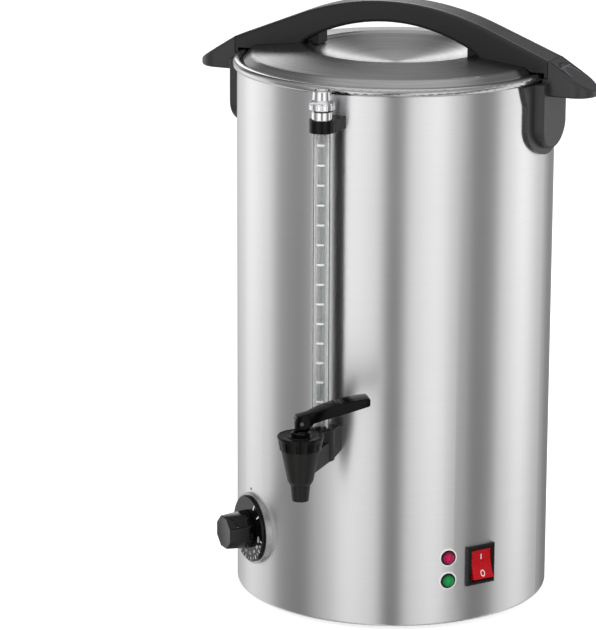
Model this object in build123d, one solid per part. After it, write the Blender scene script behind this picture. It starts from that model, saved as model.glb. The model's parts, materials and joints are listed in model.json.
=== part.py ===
"""Hot water urn: a double-walled stainless tank with a lift-off lid, a press-lever tap under a sight
gauge, a thermostat knob, two pilot lamps and a rocker switch.

Frame: millimetres, +Z up, the table at z = 0, the urn's axis on x = y = 0. The tap and the gauge
face -Y, and the lid handle and the two side grips lie along X.
"""
from build123d import *
import os
from math import atan, cos, radians, sin, sqrt, tan

# ---- Driving dimensions, mm ---------------------------------------------------------------------
# Outer shell and inner tank
BODY_R = 131.0          # outside radius of the shell
SHEET_T = 1.0           # sheet thickness of shell, tank and lid
FOOT_DROP = 4.0         # how far the feet hold the shell off the table
SHELL_H = 441.0         # shell, from its bottom edge to the rolled bead
BASE_LIP_W = 12.0       # inward lip at the shell's bottom edge
SHELL_BEND_R = 2.0      # bend between the wall and that lip, at mid sheet
BEAD_H = 7.0            # rolled bead, top to bottom
BEAD_PROUD = 3.6        # bead, out from the shell
WALL_GAP = 7.0          # air gap between shell and tank
TANK_FLOOR_Z = 120.0    # underside of the tank's floor above the table
TANK_CORNER_R = 8.0     # bend between the tank's floor and wall
MOUTH_STEP = 5.9        # how far the tank steps out to make the ledge that carries the lid
LEDGE_DEPTH = 11.0      # ledge, down from the top of the bead

# Lid
LID_SIDE_GAP = 1.8      # lid skirt to the tank's mouth
LID_SEAT_GAP = 0.3      # lid skirt to the ledge
LID_SHOULDER_W = 6.4    # shoulder, in from the skirt to the crease of the raised ring
LID_CREASE_RISE = 4.4   # crease above the top of the bead
LID_SHOULDER_DROP = 5.6 # shoulder below the crease
LID_RING_W = 45.7       # raised ring, in from the crease to the lip round the dish
LIP_RISE = 10.0         # lip above the top of the bead
LIP_EDGE_W = 0.8        # middle of the sheet, in from the lip
DISH_DEPTH = 13.0       # dish centre below the lip
DISH_STEP = 2.6         # wall between the lip and the dish
DISH_LEAN = 1.6         # how far that wall leans in
LID_BENDS = (1.6, 4.0, 2.6)     # bends of the sheet at lip, crease and skirt
LID_TRIM_GAP = 0.1      # between the lid and what sits on it
LID_SCREW_OUT = 6.0     # handle screws, out from the lip
LID_SCREW_R = 2.0
LID_SCREW_LEN = 9.0     # above the lip
PAN_HEAD_R = 3.8        # pan heads of the screws into plastic
PAN_HEAD_H = 2.6

# Arched lid handle
ARCH_RISE = 48.5        # crown above the top of the bead
ARCH_SLOPE = 0.4017     # fall of its straight ends
PARTING_RISE = 10.15    # upper line above the top of the bead, at the parting
ARCH_THICK = 17.0       # band height at the crown
ARCH_FOOT_OUT = 2.0     # where the under line ends, out from the lid's lip
ARCH_FOOT_RISE = 11.0   # and above the top of the bead
HANDLE_W = 29.0         # band width at the crown
HANDLE_END_W = 35.0     # band width at the parting
PARTING_OUT = 3.4       # parting between the lid handle and a side grip, out from the bead
PARTING_GAP = 0.6       # air gap at the parting
HANDLE_EDGE_R = 2.6     # rounding along the band's long edges
INNER_FOOT_W = 18.0     # narrower foot under the band
INNER_FOOT_IN = 8.0     # its inner face, in from the lip
HOOK_OVER_GAP = 1.0     # handle above the bead
HOOK_SIDE_GAP = 0.9     # hook outside the bead
HOOK_LAP = 3.0          # hook, down from the top of the bead

# Side grips
GRIP_LEN = 37.0         # from the parting to the grip's end
GRIP_UNDER_DROP = 11.0  # underside of a grip below the foot of the bead
GRIP_SLOPE = 0.63       # fall of its upper line
GRIP_UNDER_R = 2.0      # rounding along its underside
LUG_H = 61.0            # lug on the shell, down from the foot of the bead
LUG_HALF_W = 36.0       # half width of the lug's flange on the shell
LUG_FLANGE_T = 3.0
LUG_FLARE = 6.0         # how much wider the flange is under the bead, each side
BOSS_HALF_W = 27.0      # half width of the flat boss on the flange
BOSS_RISE = 5.0         # boss above the bottom of the flange
BOSS_EDGE_R = 2.4
LUG_PROUD = 8.5         # face of the boss beyond the shell
GRIP_SCREW_D = 5.0
GRIP_SCREW_DROPS = (43.0, 21.0)     # below the foot of the bead
GRIP_HEAD_H = 3.0

# Sight gauge above the tap
GAUGE_OFF = 20.0        # gauge axis, out from the shell
SHIELD_D = 17.0         # clear outer tube
SHIELD_T = 1.4
GLASS_D = 7.0           # inner glass tube that shows the level
GLASS_T = 1.1
GAUGE_CAP_H = 10.5
GAUGE_NUT_H = 6.5
GAUGE_NUT_D = 20.8
GAUGE_COLLAR_H = 6.5
BRACKET_H = 10.0
BRACKET_WALL = 1.7
BRACKET_ROOT_HALF_W = 12.0
BRACKET_SCREW_R = 2.0
KNURLS = 16             # round the gauge's nut
TUBE_FIT = 0.1          # radial clearance where a tube sits in a socket

# Tap
TAP_REACH = 59.0        # tap axis, out from the shell
TAP_BORE_Z = 162.0      # height of the water way
TAP_STUB_D = 15.6       # threaded stub through both walls
TAP_BORE_D = 9.0
SPOUT_Z = 126.5         # mouth of the spout
SPOUT_H = 13.0
SPOUT_D = 16.0
SPOUT_MOUTH_D = 13.4
OUTLET_D = 10.0
CUP_TOP_Z = 169.5       # top of the tapered cup
CUP_TOP_D = 31.6
CUP_LOW_D = 20.6
BONNET_H = 10.5
BONNET_D = 37.0
BONNET_LOW_D = 33.4
BONNET_NOTCHES = 12
ARM_W = 20.0
SOCKET_D = 23.0         # boss that holds the lower end of the gauge
SOCKET_TOP_Z = 175.0
STUB_END = 15.0         # stub, in from the tank's inner face
SCREW_NECK_H = 6.5      # threaded neck above the cup
GASKET_T = 3.5
TAP_NUT_H = 7.0
TAP_NUT_FLATS = 24.0
NOTCH_DEPTH = 0.8       # notches round the bonnet
STEM_D = 6.4
RUN_FIT = 0.08          # radial clearance of a turning or sliding stem
PIN_D = 3.0
LEVER_PIN_Z = 191.0     # lever pin at rest
LEVER_ANGLE = 35.0      # the lever points this far round from +X towards the shell
LEVER_W = 17.0
LEVER_HEEL_W = 10.8
LEVER_LEN = 54.0        # from the tap axis to the tip
LEVER_SLOT_W = 5.6      # slot for the stem's tongue
LEVER_SEAT_GAP = 0.4    # heel above the collar
COLLAR_D = 15.0
COLLAR_H = 3.6
SEAT_GAP = 0.15         # seat cup above the seat
SPRING_D = 11.6
SPRING_WIRE = 0.9
SPRING_TURNS = 5

# Thermostat knob
KNOB_ANGLE = -39.2      # round the shell from the tap, + towards +X
KNOB_Z = 65.0
DIAL_D = 56.0
DIAL_RING_D = 60.0
DIAL_T = 2.2
KNOB_FLATS = 30.0       # octagon across flats at its base
KNOB_FACE_FLATS = 26.5
KNOB_H = 22.5
KNOB_SHAFT_D = 6.0
KNOB_EDGE = 1.2         # bevel round its face
DIAL_RING_PROUD = 2.2   # front of the bright ring beyond the shell
DIAL_GAP = 0.4          # dial in front of that ring
THERMOSTAT_GAP = 3.0    # thermostat's flange inside the shell
THERMOSTAT_DEPTH = 22.0
THERMOSTAT_W = 34.0
THERMOSTAT_FLANGE = (40.0, 20.0)
THERMOSTAT_NECK_R = 5.0
THERMOSTAT_SCREW_X = 14.0
THERMOSTAT_SCREW_R = 2.0

# Pilot lamps and rocker switch
LAMP_ANGLE = 43.3
LAMP_ZS = (61.4, 41.7)
LAMP_D = 12.6
SWITCH_ANGLE = 56.3
SWITCH_Z = 51.7
SWITCH_W = 27.5
SWITCH_H = 33.5
SWITCH_BODY_W = 22.0
SWITCH_BODY_H = 29.0
ROCKER_W = 19.0
ROCKER_HALF_H = 12.0
ROCKER_TILT = 11.0      # each way from the middle
ROCKER_SIDE_GAP = 0.25
ROCKER_CREST = 3.6      # rocker's middle above its axis
ROCKER_SHOULDER = 5.6   # its two ends above the axis
ROCKER_PIN_D = 2.4
ROCKER_AXIS_IN = 1.4    # rocker's axis inside the shell
SWITCH_PROUD = 2.4      # front of the bezel beyond the shell
LAMP_BODY_R = 4.6
LAMP_BODY_PROUD = 0.8   # lamp's body beyond the shell, inside its lens
CUTOUT_GAP = 0.3        # round what passes through the shell

# Base and heater
BASE_T = 1.2
FOOT_INSET = 33.0       # middle of a foot, in from the shell
FOOT_D = 26.0
FEET = 4
HEATER_D = 170.0
HEATER_T = 8.0
ELEMENT_R = 58.0
ELEMENT_D = 8.0
CLAMP_T = 3.0
CLAMP_W = 26.0
CUTOUT_DISC_X = 34.0    # thermal cut-out, out from the middle
TIE_D = 6.0
TIE_NUT_H = 4.8
TIE_LOW_NUT_H = 3.2
TERMINAL_Y = 62.0       # terminal block, towards the back
BULB_OUT = 13.0         # thermostat's bulb, out from the heating plate's edge
FOOT_SCREW_R = 2.0
FOOT_HEAD_R = 3.8
FOOT_HEAD_H = 2.4
FOOT_NUT_H = 3.2
GLAND_Z = 36.0
GLAND_D = 20.0
GLAND_NECK_R = 7.0
CORD_HOLE_R = 3.8

# ---- Sizes that follow --------------------------------------------------------------------------
SHELL_LOW = FOOT_DROP
BEAD_LOW = SHELL_LOW + SHELL_H
RIM_TOP = BEAD_LOW + BEAD_H
SHELL_IN = BODY_R - SHEET_T
TANK_OUT = SHELL_IN - WALL_GAP
TANK_IN = TANK_OUT - SHEET_T
MOUTH_IN = TANK_IN + MOUTH_STEP
LEDGE_Z = RIM_TOP - LEDGE_DEPTH
BEAD_R = BODY_R + BEAD_PROUD
TALL = RIM_TOP + 200.0      # more than the urn's height, for trimming solids

CREASE_Z = RIM_TOP + LID_CREASE_RISE
SKIRT_R = MOUTH_IN - LID_SIDE_GAP
LID_CREASE_R = SKIRT_R - LID_SHOULDER_W
LIP_R = LID_CREASE_R - LID_RING_W
LIP_Z = RIM_TOP + LIP_RISE
DISH_Z = LIP_Z - DISH_DEPTH
LID_SCREW_X = LIP_R + LID_SCREW_OUT

# The handle's upper line is an arc that turns into a straight fall to the parting.
PARTING_X = BEAD_R + PARTING_OUT
PARTING_Z = RIM_TOP + PARTING_RISE
ARCH_TOP_Z = RIM_TOP + ARCH_RISE
ARCH_TURN = atan(ARCH_SLOPE)
ARCH_BEND_X = (PARTING_X * ARCH_SLOPE - ARCH_TOP_Z + PARTING_Z) / (ARCH_SLOPE - tan(ARCH_TURN / 2))
ARCH_R = ARCH_BEND_X / sin(ARCH_TURN)
ARCH_FOOT_X = LIP_R + ARCH_FOOT_OUT
INNER_FOOT_X = LIP_R - INNER_FOOT_IN
GRIP_END_X = PARTING_X + GRIP_LEN
GRIP_UNDER_Z = BEAD_LOW - GRIP_UNDER_DROP
LUG_LOW_Z = BEAD_LOW - LUG_H
GRIP_SCREW_ZS = [BEAD_LOW - drop for drop in GRIP_SCREW_DROPS]

GAUGE_Y = -(BODY_R + GAUGE_OFF)
TAP_Y = -(BODY_R + TAP_REACH)
GAUGE_TOP_Z = RIM_TOP       # the gauge's cap ends level with the bead
GAUGE_CAP_Z = GAUGE_TOP_Z - GAUGE_CAP_H
GAUGE_NUT_Z = GAUGE_CAP_Z - GAUGE_NUT_H
GAUGE_COLLAR_Z = GAUGE_NUT_Z - GAUGE_COLLAR_H
BRACKET_Z = GAUGE_COLLAR_Z - BRACKET_H
SHIELD_LOW = SOCKET_TOP_Z - 4.0
SEAL_H = 3.0
SEAL_LOW = SHIELD_LOW - SEAL_H - 2.0

BONNET_TOP = CUP_TOP_Z + BONNET_H
BONNET_PLATE = 3.0
NECK_D = CUP_TOP_D - 3.0
SEAT_Z = SPOUT_Z + SPOUT_H + 11.0
CHAMBER_D = NECK_D - 4.6
CHAMBER_LOW_D = CUP_LOW_D - 2.4
COLLAR_Z = BONNET_TOP + 0.1
HEEL_Z = COLLAR_Z + COLLAR_H + LEVER_SEAT_GAP - LEVER_PIN_Z
CUP_SEAL_H = 8.0
TONGUE_T = LEVER_SLOT_W - 0.4

BEZEL_FRONT = BODY_R + DIAL_RING_PROUD
DIAL_BACK = BEZEL_FRONT + DIAL_GAP
DIAL_FRONT = DIAL_BACK + DIAL_T
KNOB_FACE = DIAL_FRONT + KNOB_H
THERMOSTAT_FRONT = SHELL_IN - THERMOSTAT_GAP
LAMP_FRONT = BODY_R + LAMP_BODY_PROUD
SWITCH_FRONT = BODY_R + SWITCH_PROUD
ROCKER_AXIS_R = BODY_R - ROCKER_AXIS_IN
ROCKER_SWEEP_R = sqrt(ROCKER_HALF_H ** 2 + ROCKER_SHOULDER ** 2)

BASE_Z = SHELL_LOW + SHEET_T
FOOT_PITCH_R = BODY_R - FOOT_INSET
HEATER_Z = TANK_FLOOR_Z - HEATER_T
CLAMP_Z = HEATER_Z - ELEMENT_D - CLAMP_T


# ---- Shared shapes ------------------------------------------------------------------------------
def turned(sketch):
    """A sketch drawn as (radius, height), turned once round the urn's axis."""
    return revolve(Plane.XZ * sketch, Axis.Z, 360)


def right_half(sketch):
    """The part of a section that lies at positive radius, cut off square at the axis."""
    return sketch - Pos(-TALL / 2, 0) * Rectangle(TALL, 2 * TALL)


def outline(*points):
    """A closed face through (radius, height) points."""
    return make_face(Polyline(*points, close=True))


def ring(r_out, r_in, z_low, z_high):
    """A plain ring or, with r_in 0, a disc on the urn's axis."""
    body = Pos(0, 0, (z_low + z_high) / 2) * Cylinder(r_out, z_high - z_low)
    if r_in > 0:
        body -= Pos(0, 0, (z_low + z_high) / 2) * Cylinder(r_in, z_high - z_low + 2)
    return body


def bent_sheet(points, radii, thickness=SHEET_T):
    """The section of a bent sheet whose middle line runs through the points."""
    return trace(FilletPolyline(*points, radius=radii), thickness)


def radial(angle, r=0.0, z=0.0):
    """A place at the shell: local Z points outwards, local Y up, local X to the right of a viewer."""
    a = radians(angle)
    return Location(Plane((r * sin(a), -r * cos(a), z), (cos(a), sin(a), 0), (sin(a), -cos(a), 0)))


def peg(angle, z, r, near, far):
    """A round bar of radius r along the outward normal, between two distances from the axis."""
    return radial(angle, (near + far) / 2, z) * Cylinder(r, far - near)


def block(angle, z, width, height, near, far):
    """A box along the outward normal, between two distances from the axis."""
    return radial(angle, (near + far) / 2, z) * Box(width, height, far - near)


def offset_peg(angle, x, z, r, near, far):
    """The same bar, moved x to the right of the outward line."""
    return radial(angle, (near + far) / 2, z) * Pos(x, 0, 0) * Cylinder(r, far - near)


def inside_of(r):
    """A tall cylinder on the urn's axis, for trimming what lies against a wall."""
    return Cylinder(r, 2 * TALL)


def at(x, y, shape):
    return Pos(x, y, 0) * shape


def save(node, shape):
    export_step(shape, f"parts/{node}.step")


def save_group(node, shapes):
    """Several separate solids in one node."""
    save(node, Compound(children=[s.solid() if not isinstance(s, Solid) else s for s in shapes]))


def lathe(*points):
    """A solid turned from a closed (radius, height) outline."""
    return turned(outline(*points))


def foot_places():
    return [(FOOT_PITCH_R * cos(radians(45 + 90 * i)), FOOT_PITCH_R * sin(radians(45 + 90 * i)))
            for i in range(FEET)]


# ---- Shell, tank and base -----------------------------------------------------------------------
def outer_shell():
    r = BODY_R - SHEET_T / 2
    z = SHELL_LOW + SHEET_T / 2
    shell = turned(bent_sheet([(r, BEAD_LOW), (r, z), (r - BASE_LIP_W, z)], SHELL_BEND_R))
    near, far = BODY_R - 12, BODY_R + 12
    shell -= peg(0, TAP_BORE_Z, TAP_STUB_D / 2 + CUTOUT_GAP, near, far)
    shell -= peg(0, BRACKET_Z + BRACKET_H / 2, BRACKET_SCREW_R + CUTOUT_GAP, near, far)
    shell -= peg(KNOB_ANGLE, KNOB_Z, THERMOSTAT_NECK_R + CUTOUT_GAP, near, far)
    for x in (-THERMOSTAT_SCREW_X, THERMOSTAT_SCREW_X):
        shell -= offset_peg(KNOB_ANGLE, x, KNOB_Z, THERMOSTAT_SCREW_R + CUTOUT_GAP, near, far)
    for z_lamp in LAMP_ZS:
        shell -= peg(LAMP_ANGLE, z_lamp, LAMP_BODY_R + CUTOUT_GAP, near, far)
    window = (SWITCH_BODY_W + 2 * CUTOUT_GAP, SWITCH_BODY_H + 2 * CUTOUT_GAP)
    shell -= block(SWITCH_ANGLE, SWITCH_Z, *window, near, far)
    shell -= peg(180, GLAND_Z, GLAND_NECK_R + CUTOUT_GAP, near, far)
    for side in (-90, 90):
        for z_screw in GRIP_SCREW_ZS:
            shell -= peg(side, z_screw, GRIP_SCREW_D / 2 + CUTOUT_GAP, near, far)
    return shell


def inner_tank():
    t = SHEET_T / 2
    wall = TANK_OUT - t
    mouth = MOUTH_IN + t
    tank = turned(right_half(bent_sheet(
        [(-5, TANK_FLOOR_Z + t), (wall, TANK_FLOOR_Z + t), (wall, LEDGE_Z - t), (mouth, LEDGE_Z - t),
         (mouth, RIM_TOP - 2.5)],
        [TANK_CORNER_R, 1.2, 1.2])))
    section = Pos((MOUTH_IN + BEAD_R) / 2, BEAD_LOW + BEAD_H / 2) * Rectangle(BEAD_R - MOUTH_IN, BEAD_H)
    outer = [v for v in section.vertices() if v.X > BODY_R]
    section = fillet(outer, BEAD_H / 2 - 0.3)
    inner_top = [v for v in section.vertices() if v.X < MOUTH_IN + 0.1 and v.Y > BEAD_LOW + BEAD_H / 2]
    tank += turned(fillet(inner_top, 2.0))
    tank -= peg(0, TAP_BORE_Z, TAP_STUB_D / 2 + CUTOUT_GAP, TANK_IN - 12, BODY_R)
    return tank


def base_plate():
    plate = ring(SHELL_IN + SHEET_T / 2 - SHELL_BEND_R - 0.1, TIE_D / 2 + CUTOUT_GAP, BASE_Z, BASE_Z + BASE_T)
    for x, y in foot_places():
        plate -= at(x, y, ring(FOOT_SCREW_R + CUTOUT_GAP, 0, BASE_Z - 1, BASE_Z + BASE_T + 1))
    return plate


def foot():
    low_r = FOOT_D / 2 - 1.5
    body = lathe((0, 0), (low_r, 0), (FOOT_D / 2, 1.5), (FOOT_D / 2, BASE_Z), (0, BASE_Z))
    body -= ring(FOOT_HEAD_R + 0.4, 0, -1, FOOT_HEAD_H + 0.6)
    return body - ring(FOOT_SCREW_R + 0.1, 0, 0, BASE_Z + 1)


def foot_screw():
    head_low = 0.6
    shank_top = BASE_Z + BASE_T + FOOT_NUT_H + 2
    screw = ring(FOOT_HEAD_R, 0, head_low, head_low + FOOT_HEAD_H)
    screw += ring(FOOT_SCREW_R, 0, head_low, shank_top)
    return screw - Pos(0, 0, head_low) * Box(1.0, 5.0, 1.6)


def hex_nut(flats, hole_r, height):
    nut = extrude(RegularPolygon(flats / 2, 6, major_radius=False), height)
    return nut - Pos(0, 0, height / 2) * Cylinder(hole_r, height + 2)


def foot_nut():
    return hex_nut(7, FOOT_SCREW_R, FOOT_NUT_H)


# ---- Heater -------------------------------------------------------------------------------------
def heating_plate():
    return ring(HEATER_D / 2, TIE_D / 2 + CUTOUT_GAP, HEATER_Z, TANK_FLOOR_Z)


def heating_element():
    """Sheathed ring, open at the back, with its two cold ends turned down."""
    z = HEATER_Z - ELEMENT_D / 2
    half_gap = 16.0
    start = 90 + half_gap
    path = Pos(0, 0, z) * CenterArc((0, 0), ELEMENT_R, start, 360 - 2 * half_gap)
    tube = sweep(Plane(origin=path @ 0, z_dir=path % 0) * Circle(ELEMENT_D / 2), path)
    for a in (start, 90 - half_gap):
        x, y = ELEMENT_R * cos(radians(a)), ELEMENT_R * sin(radians(a))
        tube += at(x, y, ring(ELEMENT_D / 2, 0, z - 16, z))
        tube += Pos(x, y, z) * Sphere(ELEMENT_D / 2)
    return tube


def heater_clamp():
    length = 2 * (ELEMENT_R + ELEMENT_D)
    strap = Pos(0, 0, CLAMP_Z + CLAMP_T / 2) * Box(length, CLAMP_W, CLAMP_T)
    return strap - ring(TIE_D / 2 + CUTOUT_GAP, 0, CLAMP_Z - 1, CLAMP_Z + CLAMP_T + 1)


def tie_rod():
    return ring(TIE_D / 2, 0, BASE_Z - TIE_LOW_NUT_H - 0.6, TANK_FLOOR_Z)


def tie_nuts():
    upper = Pos(0, 0, CLAMP_Z - TIE_NUT_H) * hex_nut(10, TIE_D / 2, TIE_NUT_H)
    lower = Pos(0, 0, BASE_Z - TIE_LOW_NUT_H) * hex_nut(10, TIE_D / 2, TIE_LOW_NUT_H)
    return [upper, lower]


def thermal_cutout():
    disc = ring(9.0, 0, HEATER_Z - 6, HEATER_Z)
    disc += ring(7.0, 0, HEATER_Z - 11, HEATER_Z - 6)
    blades = Pos(0, 5, HEATER_Z - 14) * Box(6.3, 0.8, 7) + Pos(0, -5, HEATER_Z - 14) * Box(6.3, 0.8, 7)
    return Pos(0, -CUTOUT_DISC_X, 0) * (disc + blades)


def terminal_block():
    z = BASE_Z + BASE_T
    body = Pos(0, TERMINAL_Y, z + 9) * Box(46, 20, 18)
    for i in range(4):
        x = -16.5 + 11 * i
        body -= Pos(x, TERMINAL_Y, z + 16) * Box(8, 30, 6)
        body -= Pos(x, TERMINAL_Y, z + 12) * Cylinder(2.4, 14)
    return body


# ---- Lid ----------------------------------------------------------------------------------------
def lid_points():
    """Middle line of the lid sheet, from the dish's wall out to the foot of the skirt."""
    shoulder_z = CREASE_Z - LID_SHOULDER_DROP
    skirt_mid = SKIRT_R - SHEET_T / 2
    lip = LIP_R - LIP_EDGE_W
    return [(lip - DISH_LEAN, LIP_Z - DISH_STEP), (lip, LIP_Z - SHEET_T / 2),
            (LID_CREASE_R, CREASE_Z - SHEET_T / 2), (skirt_mid, shoulder_z),
            (skirt_mid, LEDGE_Z + LID_SEAT_GAP)]


def dish_arc():
    """Middle line of the shallow dish, level at its centre."""
    x, z = lid_points()[0]
    return ThreePointArc((-x, z), (0, DISH_Z - SHEET_T / 2), (x, z))


def lid_shell():
    run = FilletPolyline(*lid_points(), radius=list(LID_BENDS))
    sheet = trace([dish_arc(), run], SHEET_T)
    lid = turned(right_half(sheet))
    for x, y in lid_screw_places():
        lid -= at(x, y, ring(LID_SCREW_R + 0.2, 0, LIP_Z - 20, LIP_Z + 10))
    return lid


def lid_top_volume():
    """All that lies under the lid's upper face, for trimming what sits on it."""
    points = lid_points()
    t = SHEET_T / 2
    gap = LID_TRIM_GAP
    foot, lip = points[0], points[1]
    return lathe((0, LEDGE_Z), (0, DISH_Z + gap), (foot[0] - t, foot[1] + t + gap),
                 (lip[0] - t, LIP_Z + gap), (LID_CREASE_R + 0.2, CREASE_Z + gap),
                 (SKIRT_R + gap, points[3][1] + 1.2), (SKIRT_R + gap, LEDGE_Z))


def lid_screw_places():
    return [(s * LID_SCREW_X, 0) for s in (-1, 1)]


def arch_z(x):
    """Upper line of the handle at a distance x from the middle."""
    if x <= ARCH_BEND_X:
        return ARCH_TOP_Z - ARCH_R + sqrt(ARCH_R ** 2 - x * x)
    return PARTING_Z + ARCH_SLOPE * (PARTING_X - x)


def band_plan():
    """Outline of the handle and the grips from above: slim in the middle, round at the ends."""
    mid, end, nose = HANDLE_W / 2, HANDLE_END_W / 2, GRIP_END_X
    along = [(1, 0), (1, 0)]
    side = Spline((-nose + end, end), (0, mid), (nose - end, end), tangents=along)
    other = Spline((-nose + end, -end), (0, -mid), (nose - end, -end), tangents=along)
    right = ThreePointArc((nose - end, end), (nose, 0), (nose - end, -end))
    left = ThreePointArc((-nose + end, -end), (-nose, 0), (-nose + end, end))
    return extrude(Pos(0, 0, LUG_LOW_Z) * make_face([side, right, other, left]), TALL - LUG_LOW_Z)


def lid_handle():
    top = arch_z(ARCH_BEND_X)
    under_mid = ARCH_TOP_Z - ARCH_THICK
    under_z = RIM_TOP + ARCH_FOOT_RISE
    over_bead = RIM_TOP + HOOK_OVER_GAP
    hook_x = BEAD_R + HOOK_SIDE_GAP
    hook_low = RIM_TOP - HOOK_LAP
    sink_x = SKIRT_R - 3
    sink_z = CREASE_Z - 4.0
    right = [(ARCH_FOOT_X, under_z), (ARCH_FOOT_X + 6, under_z - 8), (sink_x, sink_z), (sink_x, over_bead),
             (hook_x, over_bead), (hook_x, hook_low), (PARTING_X, hook_low), (PARTING_X, PARTING_Z),
             (ARCH_BEND_X, top)]
    left = [(-x, z) for x, z in right]
    crown = ThreePointArc((ARCH_BEND_X, top), (0, ARCH_TOP_Z), (-ARCH_BEND_X, top))
    belly = ThreePointArc((-ARCH_FOOT_X, under_z), (0, under_mid), (ARCH_FOOT_X, under_z))
    side = make_face([Polyline(*right), crown, Polyline(*reversed(left)), belly])
    band = extrude(Plane.XZ * side, HANDLE_END_W, both=True) & band_plan()
    band = rounded(band, HANDLE_EDGE_R, sink_z + 3, PARTING_X - 1)
    foot_end = LID_SCREW_X + 2 * PAN_HEAD_R
    foot_len = foot_end - INNER_FOOT_X
    top_z = arch_z(INNER_FOOT_X) - ARCH_THICK + 6
    foot = Box(foot_len, INNER_FOOT_W, top_z - DISH_Z)
    foot = Pos((INNER_FOOT_X + foot_end) / 2, 0, (top_z + DISH_Z) / 2) * foot
    band += foot
    band += mirror(foot, Plane.YZ)
    band -= lid_top_volume()
    for x, y in lid_screw_places():
        band -= at(x, y, ring(LID_SCREW_R, 0, LIP_Z - 12, LIP_Z + LID_SCREW_LEN + 0.5))
    return band


def rounded(shape, radius, above_z, within_x):
    """The shape with its long side edges rounded, above one height and within one reach."""
    edges = [e for e in shape.edges() if e.center().Z > above_z and abs(e.center().X) < within_x]
    return fillet([e for e in edges if is_side_edge(e)], radius)


def is_side_edge(edge):
    """True for an edge that runs along the band at its front or back."""
    span = abs((edge @ 1).X - (edge @ 0).X)
    across = abs((edge @ 1).Y - (edge @ 0).Y)
    return span > 4 * across + 5


def lid_screw():
    """Pan-head screw from under the lid into the handle's foot."""
    head_top = lid_under_z(LID_SCREW_X)
    screw = ring(PAN_HEAD_R, 0, head_top - PAN_HEAD_H, head_top)
    return screw + ring(LID_SCREW_R, 0, head_top - PAN_HEAD_H, LIP_Z + LID_SCREW_LEN)


def lid_under_z(x):
    """Lower face of the raised ring, at the far side of a screw head."""
    slope = (LIP_Z - CREASE_Z) / (LID_CREASE_R - LIP_R)
    return LIP_Z - slope * (x + PAN_HEAD_R - LIP_R) - SHEET_T - LID_TRIM_GAP


# ---- Side grips ---------------------------------------------------------------------------------
def lug_face(half_w, low, flare):
    """The lug's outline on the plane x = 0: round below, flared under the bead."""
    waist = LUG_LOW_Z + 25
    top = BEAD_LOW - 0.4
    flare_z = GRIP_UNDER_Z - 6
    arc = EllipticalCenterArc((0, waist), half_w, waist - low, start_angle=180, arc_size=180)
    rim = Polyline((half_w, waist), (half_w, flare_z), (half_w + flare, top), (-half_w - flare, top),
                   (-half_w, flare_z), (-half_w, waist))
    return Plane.YZ * make_face([arc, rim])


def upward(face):
    """How much of a face looks up, in square millimetres."""
    return face.normal_at().Z * face.area


def grip_lug():
    """Flange that hugs the shell under the grip, with a flat boss on it."""
    flange = extrude(lug_face(LUG_HALF_W, LUG_LOW_Z, LUG_FLARE), BODY_R + 20)
    flange = flange & inside_of(BODY_R + LUG_FLANGE_T)
    boss = extrude(lug_face(BOSS_HALF_W, LUG_LOW_Z + BOSS_RISE, 0.001), BODY_R + LUG_PROUD)
    boss = fillet(boss.faces().sort_by(Axis.X)[-1].edges().sort_by(Axis.Z)[:-1], BOSS_EDGE_R)
    return (flange + boss) - inside_of(BODY_R)


def side_grip():
    """The grip at +X; the other one is its mirror image."""
    inner_x = PARTING_X + PARTING_GAP
    step_z = BEAD_LOW + 3.2
    nose = GRIP_END_X + 1
    root_x = BODY_R - 8
    nose_z = PARTING_Z - GRIP_SLOPE * (nose - inner_x)
    side = outline((inner_x, PARTING_Z), (nose, nose_z), (nose, GRIP_UNDER_Z), (root_x, GRIP_UNDER_Z),
                   (root_x, step_z), (inner_x, step_z))
    grip = extrude(Plane.XZ * side, HANDLE_END_W, both=True) & band_plan()
    slope = max(grip.faces(), key=upward)
    grip = fillet([e for e in slope.edges() if e.center().X > inner_x + 0.1], HANDLE_EDGE_R)
    under = min(grip.faces(), key=upward)
    grip = fillet([e for e in under.edges() if e.center().X > root_x + 0.1], GRIP_UNDER_R)
    grip = grip + grip_lug()
    grip -= ring(BODY_R, 0, LUG_LOW_Z - 10, BEAD_LOW)
    grip -= ring(BEAD_R + 0.2, 0, BEAD_LOW - 0.3, RIM_TOP + 20)
    for z in GRIP_SCREW_ZS:
        grip -= peg(90, z, GRIP_SCREW_D / 2, BODY_R - 20, BODY_R + LUG_PROUD - 2.2)
    return grip


def grip_screws():
    screws = []
    for side in (-90, 90):
        for z in GRIP_SCREW_ZS:
            screw = peg(side, z, GRIP_SCREW_D / 2, SHELL_IN - GRIP_HEAD_H, BODY_R + LUG_PROUD - 2.6)
            head = peg(side, z, GRIP_SCREW_D * 0.85, SHELL_IN - GRIP_HEAD_H - 1, SHELL_IN + 1)
            screws.append(screw + (head & inside_of(SHELL_IN)))
    return screws


# ---- Sight gauge --------------------------------------------------------------------------------
def at_gauge(shape):
    return Pos(0, GAUGE_Y, 0) * shape


def gauge_shield():
    return at_gauge(ring(SHIELD_D / 2, SHIELD_D / 2 - SHIELD_T, SHIELD_LOW, GAUGE_COLLAR_Z))


def sight_glass():
    return at_gauge(ring(GLASS_D / 2, GLASS_D / 2 - GLASS_T, SEAL_LOW, GAUGE_CAP_Z - 1))


def gauge_seal():
    section = Pos(GLASS_D / 2 + 0.9, SEAL_LOW + SEAL_H / 2) * RectangleRounded(1.7, SEAL_H, 0.6)
    return at_gauge(turned(section))


def gauge_collar():
    """Chromed top fitting, with a spigot inside the clear tube."""
    r = SHIELD_D / 2 - 0.2
    spigot = SHIELD_D / 2 - SHIELD_T - TUBE_FIT
    hole = GLASS_D / 2 + TUBE_FIT
    low = GAUGE_COLLAR_Z
    return at_gauge(lathe((hole, low - 7), (spigot, low - 7), (spigot, low), (r - 0.5, low), (r, low + 0.5),
                          (r, GAUGE_NUT_Z), (hole, GAUGE_NUT_Z)))


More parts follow.
